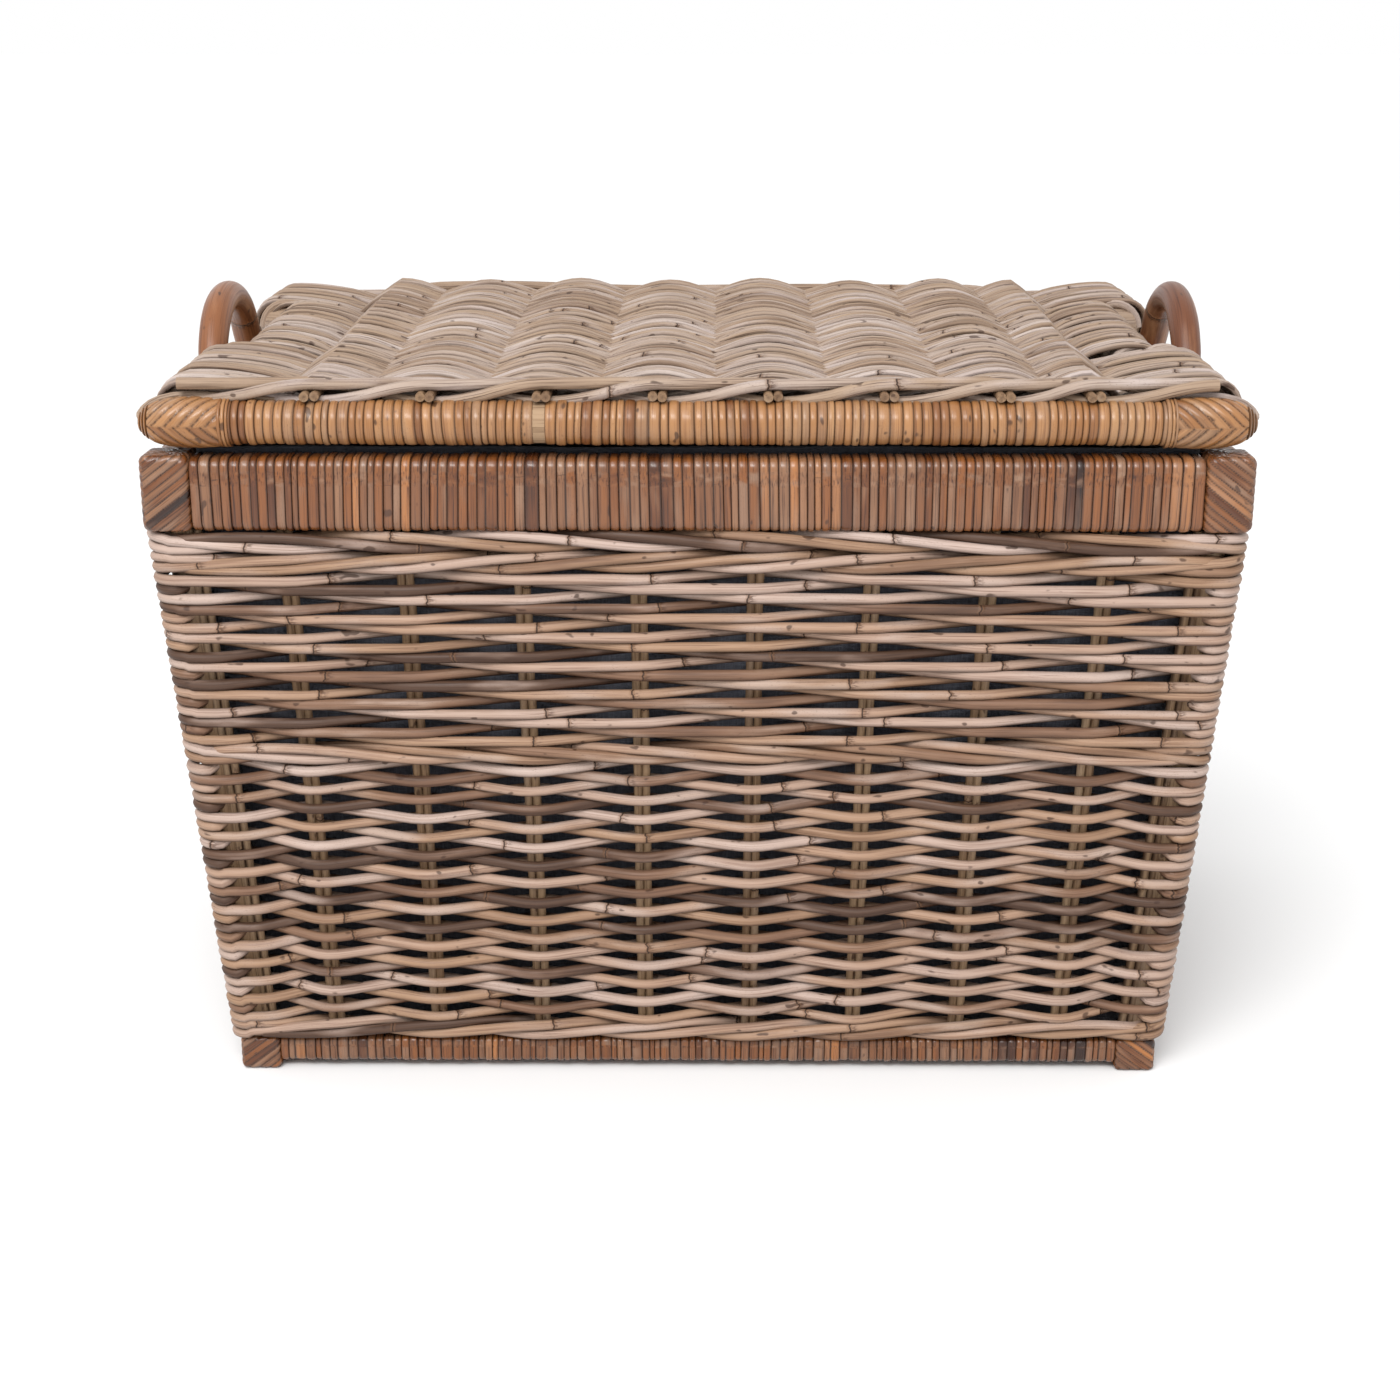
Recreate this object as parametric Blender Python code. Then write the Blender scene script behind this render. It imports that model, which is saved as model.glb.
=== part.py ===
"""Rectangular rattan laundry hamper with a hinged lid, in metres, +Z up, front towards -Y.

A tapering basket of woven rattan stands on a wrapped base frame. A wrapped rim carries two fixed
cane handles, and a woven lid turns on a cane rod behind the back rim.
"""

import math

import bmesh
import bpy

GAP = 0.0003  # between touching pieces
CUT_PAST = 0.002  # how far a cutter runs past what it cuts

# Base frame
BASE_HALF = (0.318, 0.208)
BASE_RAIL_THICK = 0.024
BASE_RAIL_Z = (0.005, 0.0245)
FOOT_SIDE = 0.027
FOOT_PROUD = 0.0015
RAIL_ROUNDING = 0.006
PANEL_Z = (0.001, 0.0205)
PANEL_CORNER_CUT = 0.005

# Woven walls, leaning outwards from the base to the rim
WALL_Z = (BASE_RAIL_Z[1] + GAP, 0.3927)
WALL_HALF_BOTTOM = (0.324, 0.214)
WALL_HALF_TOP = (0.3485, 0.2385)
WALL_THICK = 0.021
CORNER_SIDE = 0.035
CORNER_ROUNDING = 0.015
WEAVE_ROWS = 24
WEAVE_RELIEF = 0.0012
POST_RADIUS = 0.010
STAKE_RADIUS = 0.003
STAKE_SPREAD = 0.0027  # from the middle of a pair to each rod's axis
STAKE_COUNT = 8
STAKE_PITCH_BOTTOM = 0.0718
STAKE_PITCH_TOP = 0.0755

# Rim
RIM_HALF = (0.350, 0.240)
RIM_THICK = 0.028
RIM_Z = (0.393, 0.443)
RIM_CORNER_SIDE = 0.031
RIM_CORNER_PROUD = 0.0015

# Handles
HANDLE_RADIUS = 0.0097
HANDLE_X = 0.337
HANDLE_HALF_SPAN = 0.0625
HANDLE_FOOT_Z = 0.4035
HANDLE_SPRING_Z = 0.462
HANDLE_RISE = 0.0523
BINDING_RADII = (0.0100, 0.0122)
BINDING_TOP_Z = 0.461

# Liner bag: half width beyond or short of each level's own size, and the fold over the rim
LINER_WALL = 0.002
LINER_CORNER = 0.042
LINER_FLOOR_HALF = (0.290, 0.180)
LINER_LOW_HALF = (0.2995, 0.1895)
LINER_LOW_Z = 0.030
LINER_HIGH_HALF = (0.3212, 0.2112)
LINER_HIGH_Z = 0.385
LINER_FOLD = 0.0031
LINER_FOLD_THICK = 0.001

# Lid
LID_RAIL_Y = 0.226
LID_RAIL_Z = 0.4615
LID_RAIL_RADIUS = 0.014
LID_TIP_X = 0.3525
LID_CAP_LENGTH = 0.055
LID_CAP_PROFILE = ((0.049, 0.0155), (0.022, 0.0155), (0.010, 0.0130), (0.003, 0.0085), (0.0, 0.0035))
LID_SIDE_X = (0.290, 0.343)
LID_SIDE_HALF_Y = 0.210
LID_SIDE_Z = (0.4446, 0.483)
LID_SIDE_ROUNDING = 0.004
NOTCH_X = 0.3175
NOTCH_ROUNDINGS = (0.012, 0.008)  # at its mouth and at its bottom
NOTCH_Y = (-0.086, 0.100)
LID_PANEL_HALF_Y = 0.2345
LID_PANEL_STEP_Y = 0.2117
LID_PANEL_Z = (0.4685, 0.4758)  # under the middle, and over the rails
LID_PANEL_EDGE = (0.004, 0.003)  # how far its sloping front and back edges run in and down
LID_TOP_Z = 0.4855
LID_WAVE = 0.0025
LID_BAR_COUNT = 8
LID_BAR_FIRST_X = -0.243
LID_BAR_PITCH = 0.0727
LID_LAST_BAR_X = 0.2500  # the last bar stands closer to its neighbour
LID_BAR_RADIUS = 0.0032
LID_BAR_SPREAD = 0.003
LID_BAR_HALF_LENGTH = 0.236
LID_BAR_Z = 0.4802

# Hinge
HINGE_Y = 0.2460
HINGE_Z = 0.4452
HINGE_ROD_RADIUS = 0.003
HINGE_ROD_HALF_LENGTH = 0.172
HOOK_RADII = (0.0033, 0.0057)
HOOK_WIDTH = 0.018
HOOK_WRAP_DEG = 290
RIM_HOOK_X = 0.1500
LID_HOOK_X = 0.1295
RIM_HOOK_END_Z = 0.405
LID_HOOK_END_Z = 0.474

# The basket's middle lies this far along Y, so that the whole object is centred on the origin
BASKET_Y = -(HINGE_Y + HOOK_RADII[1] - (RIM_HALF[1] + RIM_CORNER_PROUD)) / 2

COLOURS = {
    "weave": (0.42, 0.32, 0.23, 1.0),
    "core": (0.36, 0.26, 0.17, 1.0),
    "peel": (0.40, 0.24, 0.12, 1.0),
    "cane": (0.50, 0.27, 0.12, 1.0),
    "cotton": (0.22, 0.23, 0.26, 1.0),
}
ROUGHNESS = {"weave": 0.6, "core": 0.65, "peel": 0.35, "cane": 0.35, "cotton": 0.9}


def clear_scene():
    for obj in list(bpy.data.objects):
        bpy.data.objects.remove(obj, do_unlink=True)


def make_materials():
    materials = {}
    for name, colour in COLOURS.items():
        material = bpy.data.materials.new(name)
        material.use_nodes = True
        shader = material.node_tree.nodes["Principled BSDF"]
        shader.inputs["Base Color"].default_value = colour
        shader.inputs["Roughness"].default_value = ROUGHNESS[name]
        shader.inputs["Metallic"].default_value = 0.0
        materials[name] = material
    return materials


def add_empty(name, location):
    empty = bpy.data.objects.new(name, None)
    empty.location = location
    bpy.context.collection.objects.link(empty)
    return empty


def add_object(name, data, material, parent, smooth=False):
    data.materials.append(material)
    obj = bpy.data.objects.new(name, data)
    # The mesh is written in the basket's own frame, whichever empty carries it
    obj.location = (-parent.location.x, BASKET_Y - parent.location.y, -parent.location.z)
    obj.parent = parent
    bpy.context.collection.objects.link(obj)
    if smooth:
        for face in data.polygons:
            face.use_smooth = len(face.vertices) == 4
    return obj


def loft_mesh(name, rings, closed_path=False):
    """A skin over rings of equal length, with a flat cap on each end unless the path closes."""
    bm = bmesh.new()
    rows = [[bm.verts.new(point) for point in ring] for ring in rings]
    pairs = list(zip(rows, rows[1:]))
    if closed_path:
        pairs.append((rows[-1], rows[0]))
    for low, high in pairs:
        for i in range(len(low)):
            j = (i + 1) % len(low)
            bm.faces.new((low[i], low[j], high[j], high[i]))
    if not closed_path:
        bm.faces.new(reversed(rows[0]))
        bm.faces.new(rows[-1])
    bmesh.ops.recalc_face_normals(bm, faces=bm.faces)
    mesh = bpy.data.meshes.new(name)
    bm.to_mesh(mesh)
    bm.free()
    return mesh


def block_mesh(name, low, high):
    bm = bmesh.new()
    bmesh.ops.create_cube(bm, size=1.0)
    for vert in bm.verts:
        for axis in range(3):
            vert.co[axis] = high[axis] if vert.co[axis] > 0 else low[axis]
    mesh = bpy.data.meshes.new(name)
    bm.to_mesh(mesh)
    bm.free()
    return mesh


def round_edges(obj, width, segments=3):
    bevel = obj.modifiers.new("Rounding", "BEVEL")
    bevel.width = width
    bevel.segments = segments
    bevel.limit_method = "ANGLE"
    bevel.angle_limit = math.radians(50)


def cut(obj, cutter):
    cutter.hide_render = True
    cutter.display_type = "WIRE"
    boolean = obj.modifiers.new("Holes", "BOOLEAN")
    boolean.operation = "DIFFERENCE"
    boolean.solver = "EXACT"
    boolean.object = cutter


def arc(centre, radius, start_deg, end_deg, steps):
    points = []
    for i in range(steps + 1):
        angle = math.radians(start_deg + (end_deg - start_deg) * i / steps)
        points.append((centre[0] + radius * math.cos(angle), centre[1] + radius * math.sin(angle)))
    return points


def circle(centre, radius, sides):
    return arc(centre, radius, 0, 360 * (sides - 1) / sides, sides - 1)


def rounded_outline(low, high, radius, steps=4):
    return (
        arc((high[0] - radius, high[1] - radius), radius, 0, 90, steps)
        + arc((low[0] + radius, high[1] - radius), radius, 90, 180, steps)
        + arc((low[0] + radius, low[1] + radius), radius, 180, 270, steps)
        + arc((high[0] - radius, low[1] + radius), radius, 270, 360, steps)
    )


def pair_outline(centre, radius, spread, steps=6):
    """Two round rods side by side along the first axis, joined where they touch."""
    half_angle = math.degrees(math.acos(spread / radius))
    right = arc((centre[0] + spread, centre[1]), radius, half_angle - 180, 180 - half_angle, steps)
    left = arc((centre[0] - spread, centre[1]), radius, half_angle, 360 - half_angle, steps)
    return right[1:] + left[1:]


def wall_half(z):
    """Outer half width and half depth of the woven walls at a height."""
    t = (z - WALL_Z[0]) / (WALL_Z[1] - WALL_Z[0])
    return tuple(low + (high - low) * t for low, high in zip(WALL_HALF_BOTTOM, WALL_HALF_TOP))


def make_base(parent, materials):
    rail_end = (
        BASE_HALF[0] + FOOT_PROUD - FOOT_SIDE - GAP,
        BASE_HALF[1] + FOOT_PROUD - FOOT_SIDE - GAP,
    )
    inner = (BASE_HALF[0] - BASE_RAIL_THICK, BASE_HALF[1] - BASE_RAIL_THICK)
    low_z, high_z = BASE_RAIL_Z
    spans = {
        "base_rail_front": ((-rail_end[0], -BASE_HALF[1], low_z), (rail_end[0], -inner[1], high_z)),
        "base_rail_back": ((-rail_end[0], inner[1], low_z), (rail_end[0], BASE_HALF[1], high_z)),
        "base_rail_left": ((-BASE_HALF[0], -rail_end[1], low_z), (-inner[0], rail_end[1], high_z)),
        "base_rail_right": ((inner[0], -rail_end[1], low_z), (BASE_HALF[0], rail_end[1], high_z)),
    }
    for name, (low, high) in spans.items():
        rail = add_object(name, block_mesh(name, low, high), materials["peel"], parent)
        round_edges(rail, RAIL_ROUNDING)

    for side_x, x_name in ((-1, "left"), (1, "right")):
        for side_y, y_name in ((-1, "front"), (1, "back")):
            name = f"base_foot_{y_name}_{x_name}"
            xs = sorted(side_x * (BASE_HALF[0] + FOOT_PROUD - d) for d in (0, FOOT_SIDE))
            ys = sorted(side_y * (BASE_HALF[1] + FOOT_PROUD - d) for d in (0, FOOT_SIDE))
            mesh = block_mesh(name, (xs[0], ys[0], 0), (xs[1], ys[1], high_z))
            foot = add_object(name, mesh, materials["peel"], parent)
            round_edges(foot, RAIL_ROUNDING)

    hx, hy, c = inner[0] - GAP, inner[1] - GAP, PANEL_CORNER_CUT
    outline = [(hx, c - hy), (hx, hy - c), (hx - c, hy), (c - hx, hy)]
    outline += [(-x, -y) for x, y in outline]
    rings = [[(x, y, z) for x, y in outline] for z in PANEL_Z]
    add_object("base_panel", loft_mesh("base_panel", rings), materials["weave"], parent)


def rod_ring(centre, z, outline):
    return [(centre[0] + x, centre[1] + y, z) for x, y in outline]


def post_centre(side_x, side_y, z):
    half = wall_half(z)
    return (side_x * (half[0] - CORNER_SIDE / 2), side_y * (half[1] - CORNER_SIDE / 2))


def stake_centre(index, z):
    t = (z - WALL_Z[0]) / (WALL_Z[1] - WALL_Z[0])
    pitch = STAKE_PITCH_BOTTOM + (STAKE_PITCH_TOP - STAKE_PITCH_BOTTOM) * t
    return ((index - (STAKE_COUNT - 1) / 2) * pitch, WALL_THICK / 2 - wall_half(z)[1])


def make_posts(parent, materials):
    for side_x, x_name in ((-1, "left"), (1, "right")):
        for side_y, y_name in ((-1, "front"), (1, "back")):
            name = f"corner_post_{y_name}_{x_name}"
            outline = circle((0, 0), POST_RADIUS, 16)
            rings = [rod_ring(post_centre(side_x, side_y, z), z, outline) for z in WALL_Z]
            add_object(name, loft_mesh(name, rings), materials["core"], parent, smooth=True)


def make_front_stakes(parent, materials):
    outline = pair_outline((0, 0), STAKE_RADIUS, STAKE_SPREAD)
    for index in range(STAKE_COUNT):
        name = f"stake_pair_{index + 1}"
        rings = [rod_ring(stake_centre(index, z), z, outline) for z in WALL_Z]
        add_object(name, loft_mesh(name, rings), materials["core"], parent, smooth=True)


def long_wall_outline(z, side_y, relief):
    """Plan of a front or back wall: a straight woven panel with a round post sleeve at each end."""
    hx, hy = wall_half(z)
    hx -= relief
    outer = hy - relief
    inner = hy - WALL_THICK + relief
    deep = hy - CORNER_SIDE + relief
    r = CORNER_ROUNDING
    sleeve = hx - CORNER_SIDE + 2 * relief
    right = (
        arc((hx - r, deep + r), r, -90, 0, 3)
        + arc((hx - r, outer - r), r, 0, 90, 3)
    )
    left = [(-x, y) for x, y in reversed(right)]
    inside = [(-sleeve, deep), (-sleeve, inner), (sleeve, inner), (sleeve, deep)]
    return [(x, side_y * y, z) for x, y in right + left + inside]


def weave_levels():
    """Heights up the wall, each with how far its surface lies inside the strands' crests."""
    low, high = WALL_Z
    steps = 2 * WEAVE_ROWS
    levels = [(low, 0.0)]
    for i in range(1, steps):
        levels.append((low + (high - low) * i / steps, WEAVE_RELIEF if i % 2 == 0 else 0.0))
    levels.append((high, 0.0))
    return levels


def wall_cutter(name, side_y, with_stakes, parent, materials):
    """The channels through a wall for its corner posts and stakes, as one object of separate rods."""
    low, high = WALL_Z[0] - CUT_PAST, WALL_Z[1] + CUT_PAST
    rods = []
    sleeve = circle((0, 0), (POST_RADIUS + GAP) / math.cos(math.pi / 16), 16)
    for side_x in (-1, 1):
        rods.append([rod_ring(post_centre(side_x, side_y, z), z, sleeve) for z in (low, high)])
    if with_stakes:
        outline = pair_outline((0, 0), STAKE_RADIUS + 1.5 * GAP, STAKE_SPREAD)
        for index in range(STAKE_COUNT):
            rods.append([rod_ring(stake_centre(index, z), z, outline) for z in (low, high)])
    return add_cutter(name, [loft_mesh(name, rod) for rod in rods], parent, materials)


def add_cutter(name, meshes, parent, materials):
    bm = bmesh.new()
    for mesh in meshes:
        bm.from_mesh(mesh)
        bpy.data.meshes.remove(mesh)
    joined = bpy.data.meshes.new(name)
    bm.to_mesh(joined)
    bm.free()
    return add_object(name, joined, materials["core"], parent)


def make_walls(parent, materials):
    for side_y, name in ((-1, "wall_front"), (1, "wall_back")):
        rings = [long_wall_outline(z, side_y, relief) for z, relief in weave_levels()]
        wall = add_object(name, loft_mesh(name, rings), materials["weave"], parent)
        cut(wall, wall_cutter(f"{name}_channels", side_y, side_y < 0, parent, materials))

    for side_x, name in ((-1, "wall_left"), (1, "wall_right")):
        rings = []
        for z, relief in weave_levels():
            hx, hy = wall_half(z)
            xs = sorted((side_x * (hx - relief), side_x * (hx - WALL_THICK + relief)))
            end = hy - CORNER_SIDE - GAP
            rings.append([(xs[0], -end, z), (xs[1], -end, z), (xs[1], end, z), (xs[0], end, z)])
        add_object(name, loft_mesh(name, rings), materials["weave"], parent)


def make_rim(parent, materials):
    end = (
        RIM_HALF[0] + RIM_CORNER_PROUD - RIM_CORNER_SIDE - GAP,
        RIM_HALF[1] + RIM_CORNER_PROUD - RIM_CORNER_SIDE - GAP,
    )
    low_z, high_z = RIM_Z
    for side_y, name in ((-1, "rim_front"), (1, "rim_back")):
        ys = sorted(side_y * (RIM_HALF[1] - d) for d in (0, RIM_THICK))
        mesh = block_mesh(name, (-end[0], ys[0], low_z), (end[0], ys[1], high_z))
        rail = add_object(name, mesh, materials["peel"], parent)
        round_edges(rail, RAIL_ROUNDING)

    for side_x, name in ((-1, "rim_left"), (1, "rim_right")):
        xs = sorted(side_x * (RIM_HALF[0] - d) for d in (0, RIM_THICK))
        mesh = block_mesh(name, (xs[0], -end[1], low_z), (xs[1], end[1], high_z))
        rail = add_object(name, mesh, materials["peel"], parent)
        round_edges(rail, RAIL_ROUNDING)
        sockets = []
        outline = circle((0, 0), (HANDLE_RADIUS + GAP) / math.cos(math.pi / 16), 16)
        for side_y in (-1, 1):
            centre = (side_x * HANDLE_X, side_y * HANDLE_HALF_SPAN)
            ends = (HANDLE_FOOT_Z - GAP, high_z + CUT_PAST)
            sockets.append(loft_mesh("socket", [rod_ring(centre, z, outline) for z in ends]))
        cut(rail, add_cutter(f"{name}_sockets", sockets, parent, materials))

    for side_x, x_name in ((-1, "left"), (1, "right")):
        for side_y, y_name in ((-1, "front"), (1, "back")):
            name = f"rim_corner_{y_name}_{x_name}"
            xs = sorted(side_x * (RIM_HALF[0] + RIM_CORNER_PROUD - d) for d in (0, RIM_CORNER_SIDE))
            ys = sorted(side_y * (RIM_HALF[1] + RIM_CORNER_PROUD - d) for d in (0, RIM_CORNER_SIDE))
            mesh = block_mesh(name, (xs[0], ys[0], low_z), (xs[1], ys[1], high_z))
            corner = add_object(name, mesh, materials["peel"], parent)
            round_edges(corner, RAIL_ROUNDING)


def make_handles(parent, materials):
    for side_x, side_name in ((-1, "left"), (1, "right")):
        leg_steps, arch_steps = 4, 20
        leg = [
            (-HANDLE_HALF_SPAN, HANDLE_FOOT_Z + (HANDLE_SPRING_Z - HANDLE_FOOT_Z) * i / leg_steps)
            for i in range(leg_steps)
        ]
        arch = []
        for i in range(arch_steps + 1):
            angle = math.pi * (1 - i / arch_steps)
            y = HANDLE_HALF_SPAN * math.cos(angle)
            arch.append((y, HANDLE_SPRING_Z + HANDLE_RISE * math.sin(angle)))
        route = leg + arch + [(-y, z) for y, z in reversed(leg)]
        curve = bpy.data.curves.new(f"handle_{side_name}", "CURVE")
        curve.dimensions = "3D"
        curve.bevel_depth = HANDLE_RADIUS
        curve.bevel_resolution = 4
        curve.use_fill_caps = True
        spline = curve.splines.new("POLY")
        spline.points.add(len(route) - 1)
        for point, (y, z) in zip(spline.points, route):
            point.co = (side_x * HANDLE_X, y, z, 1.0)
        add_object(curve.name, curve, materials["cane"], parent)

        for side_y, end_name in ((-1, "front"), (1, "back")):
            name = f"handle_binding_{side_name}_{end_name}"
            centre = (side_x * HANDLE_X, side_y * HANDLE_HALF_SPAN)
            inner, outer = BINDING_RADII
            sides = 16
            rings = []
            for dx, dy in circle((0, 0), 1.0, sides):
                corners = ((inner, 0), (outer, 0), (outer, 1), (inner, 1))
                levels = (RIM_Z[1] + GAP, BINDING_TOP_Z)
                rings.append([(centre[0] + dx * r / math.cos(math.pi / sides) ** (r == inner),
                               centre[1] + dy * r / math.cos(math.pi / sides) ** (r == inner),
                               levels[k]) for r, k in corners])
            mesh = loft_mesh(name, rings, closed_path=True)
            add_object(name, mesh, materials["peel"], parent)


def make_liner(parent, materials):
    """The bag's skin, up its outside, over the fold on the rim and down its inside."""
    floor_z = PANEL_Z[1] + GAP
    fold_z = RIM_Z[1] + GAP
    top_z = fold_z + LINER_FOLD_THICK
    wall = LINER_WALL
    levels = [
        (LINER_FLOOR_HALF, 0, floor_z),
        (LINER_LOW_HALF, 0, LINER_LOW_Z),
        (LINER_HIGH_HALF, 0, LINER_HIGH_Z),
        (LINER_HIGH_HALF, 0, fold_z),
        (LINER_HIGH_HALF, LINER_FOLD, fold_z),
        (LINER_HIGH_HALF, LINER_FOLD, top_z),
        (LINER_HIGH_HALF, -wall, top_z),
        (LINER_HIGH_HALF, -wall, LINER_HIGH_Z),
        (LINER_LOW_HALF, -wall, LINER_LOW_Z + wall),
        (LINER_FLOOR_HALF, -wall, floor_z + wall),
    ]
    rings = []
    for half, extra, z in levels:
        hx, hy = half[0] + extra, half[1] + extra
        outline = rounded_outline((-hx, -hy), (hx, hy), LINER_CORNER + extra, steps=5)
        rings.append([(x, y, z) for x, y in outline])
    add_object("liner", loft_mesh("liner", rings), materials["cotton"], parent)


def make_lid_rails(parent, materials):
    cap_start = LID_TIP_X - LID_CAP_LENGTH
    half = [(cap_start, LID_RAIL_RADIUS)]
    half += [(LID_TIP_X - from_tip, radius) for from_tip, radius in LID_CAP_PROFILE]
    stations = [(-x, r) for x, r in reversed(half)] + [(0.0, LID_RAIL_RADIUS)] + half
    for side_y, name in ((-1, "lid_rail_front"), (1, "lid_rail_back")):
        rings = []
        for x, radius in stations:
            ring = circle((side_y * LID_RAIL_Y, LID_RAIL_Z), radius, 16)
            rings.append([(x, y, z) for y, z in ring])
        add_object(name, loft_mesh(name, rings), materials["peel"], parent, smooth=True)


def make_lid_sides(parent, materials):
    """Wrapped side borders, each with the notch that clears a handle."""
    inner_x, outer_x = LID_SIDE_X
    end_y = LID_SIDE_HALF_Y
    round_out, round_in = NOTCH_ROUNDINGS
    near, far = NOTCH_Y
    outline = [(inner_x, -end_y), (outer_x, -end_y)]
    outline += arc((outer_x - round_out, near - round_out), round_out, 0, 90, 4)
    outline += reversed(arc((NOTCH_X + round_in, near + round_in), round_in, 180, 270, 3))
    outline += reversed(arc((NOTCH_X + round_in, far - round_in), round_in, 90, 180, 3))
    outline += arc((outer_x - round_out, far + round_out), round_out, -90, 0, 4)
    outline += [(outer_x, end_y), (inner_x, end_y)]
    for side_x, name in ((-1, "lid_side_left"), (1, "lid_side_right")):
        rings = [[(side_x * x, y, z) for x, y in outline] for z in LID_SIDE_Z]
        side = add_object(name, loft_mesh(name, rings), materials["weave"], parent)
        round_edges(side, LID_SIDE_ROUNDING, segments=2)


def lid_bar_x(index):
    return min(LID_BAR_FIRST_X + index * LID_BAR_PITCH, LID_LAST_BAR_X)


def bar_ring(x, y, outline):
    return [(x + across, y, LID_BAR_Z + up) for across, up in outline]


def make_lid_panel(parent, materials):
    edge = LID_SIDE_X[0] - GAP
    low_z, step_z = LID_PANEL_Z
    run, down = LID_PANEL_EDGE
    stations = 40
    rings = []
    for i in range(stations + 1):
        x = -edge + 2 * edge * i / stations
        phase = 2 * math.pi * (x - LID_BAR_FIRST_X) / LID_BAR_PITCH
        top = LID_TOP_Z + LID_WAVE * (math.cos(phase) - 1) / 2
        half = [(0.0, low_z), (LID_PANEL_STEP_Y, low_z), (LID_PANEL_STEP_Y, step_z)]
        half += [(LID_PANEL_HALF_Y, step_z), (LID_PANEL_HALF_Y, top - down), (LID_PANEL_HALF_Y - run, top)]
        profile = half + [(-y, z) for y, z in reversed(half[1:])]
        rings.append([(x, y, z) for y, z in profile])
    panel = add_object("lid_panel", loft_mesh("lid_panel", rings), materials["weave"], parent)

    outline = pair_outline((0, 0), LID_BAR_RADIUS, LID_BAR_SPREAD)
    channel = pair_outline((0, 0), LID_BAR_RADIUS + 1.5 * GAP, LID_BAR_SPREAD)
    past = LID_PANEL_HALF_Y + CUT_PAST
    channels = []
    for index in range(LID_BAR_COUNT):
        name = f"lid_bar_{index + 1}"
        x = lid_bar_x(index)
        rings = [bar_ring(x, y, outline) for y in (-LID_BAR_HALF_LENGTH, LID_BAR_HALF_LENGTH)]
        add_object(name, loft_mesh(name, rings), materials["core"], parent, smooth=True)
        channels.append(loft_mesh("channel", [bar_ring(x, y, channel) for y in (-past, past)]))
    cut(panel, add_cutter("lid_panel_channels", channels, parent, materials))


def hook_outline(end_z, turn):
    """Side view of a strap that lies on a rail and wraps round the hinge rod."""
    inner, outer = HOOK_RADII
    centre = (HINGE_Y, HINGE_Z)
    end_deg = 180 - turn * HOOK_WRAP_DEG
    outside = arc(centre, outer, 180, end_deg, 16)
    inside = arc(centre, inner, end_deg, 180, 16)
    return [(HINGE_Y - outer, end_z)] + outside + inside + [(HINGE_Y - inner, end_z)]


def make_hook(name, x, outline, parent, materials):
    half = HOOK_WIDTH / 2
    rings = [[(x + dx, y, z) for y, z in outline] for dx in (-half, half)]
    add_object(name, loft_mesh(name, rings), materials["peel"], parent)


def make_hinge(basket, lid, materials):
    ring = circle((HINGE_Y, HINGE_Z), HINGE_ROD_RADIUS, 12)
    ends = (-HINGE_ROD_HALF_LENGTH, HINGE_ROD_HALF_LENGTH)
    rod = loft_mesh("hinge_rod", [[(x, y, z) for y, z in ring] for x in ends])
    add_object("hinge_rod", rod, materials["cane"], basket, smooth=True)
    for side_x, side_name in ((-1, "left"), (1, "right")):
        rim_hook = hook_outline(RIM_HOOK_END_Z, turn=1)
        make_hook(f"hinge_strap_rim_{side_name}", side_x * RIM_HOOK_X, rim_hook, basket, materials)
        lid_hook = hook_outline(LID_HOOK_END_Z, turn=-1)
        make_hook(f"hinge_strap_lid_{side_name}", side_x * LID_HOOK_X, lid_hook, lid, materials)


def main():
    clear_scene()
    materials = make_materials()
    basket = add_empty("basket_frame", (0.0, 0.0, 0.0))
    lid = add_empty("lid_hinge_axis", (0.0, HINGE_Y + BASKET_Y, HINGE_Z))
    make_base(basket, materials)
    make_posts(basket, materials)
    make_front_stakes(basket, materials)
    make_walls(basket, materials)
    make_rim(basket, materials)
    make_handles(basket, materials)
    make_liner(basket, materials)
    make_lid_rails(lid, materials)
    make_lid_sides(lid, materials)
    make_lid_panel(lid, materials)
    make_hinge(basket, lid, materials)


main()
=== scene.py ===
"""Looks of the rattan laundry hamper with its lid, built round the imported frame, in metres."""

import math
import zlib

import bpy
import numpy as np
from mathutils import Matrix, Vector


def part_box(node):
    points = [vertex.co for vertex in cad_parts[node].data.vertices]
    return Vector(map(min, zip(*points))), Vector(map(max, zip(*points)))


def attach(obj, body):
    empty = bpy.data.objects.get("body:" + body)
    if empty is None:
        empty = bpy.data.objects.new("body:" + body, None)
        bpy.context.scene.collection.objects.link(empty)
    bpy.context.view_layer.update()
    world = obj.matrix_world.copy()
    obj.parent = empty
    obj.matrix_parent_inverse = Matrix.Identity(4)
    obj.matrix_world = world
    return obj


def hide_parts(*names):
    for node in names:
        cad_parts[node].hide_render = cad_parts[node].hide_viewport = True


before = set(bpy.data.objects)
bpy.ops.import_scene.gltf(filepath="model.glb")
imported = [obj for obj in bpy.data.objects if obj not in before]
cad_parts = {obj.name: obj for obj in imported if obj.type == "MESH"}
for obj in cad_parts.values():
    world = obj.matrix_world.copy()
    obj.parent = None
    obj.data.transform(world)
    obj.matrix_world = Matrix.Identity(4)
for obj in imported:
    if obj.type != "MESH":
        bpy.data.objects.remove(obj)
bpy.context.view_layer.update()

MM = 0.001

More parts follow.
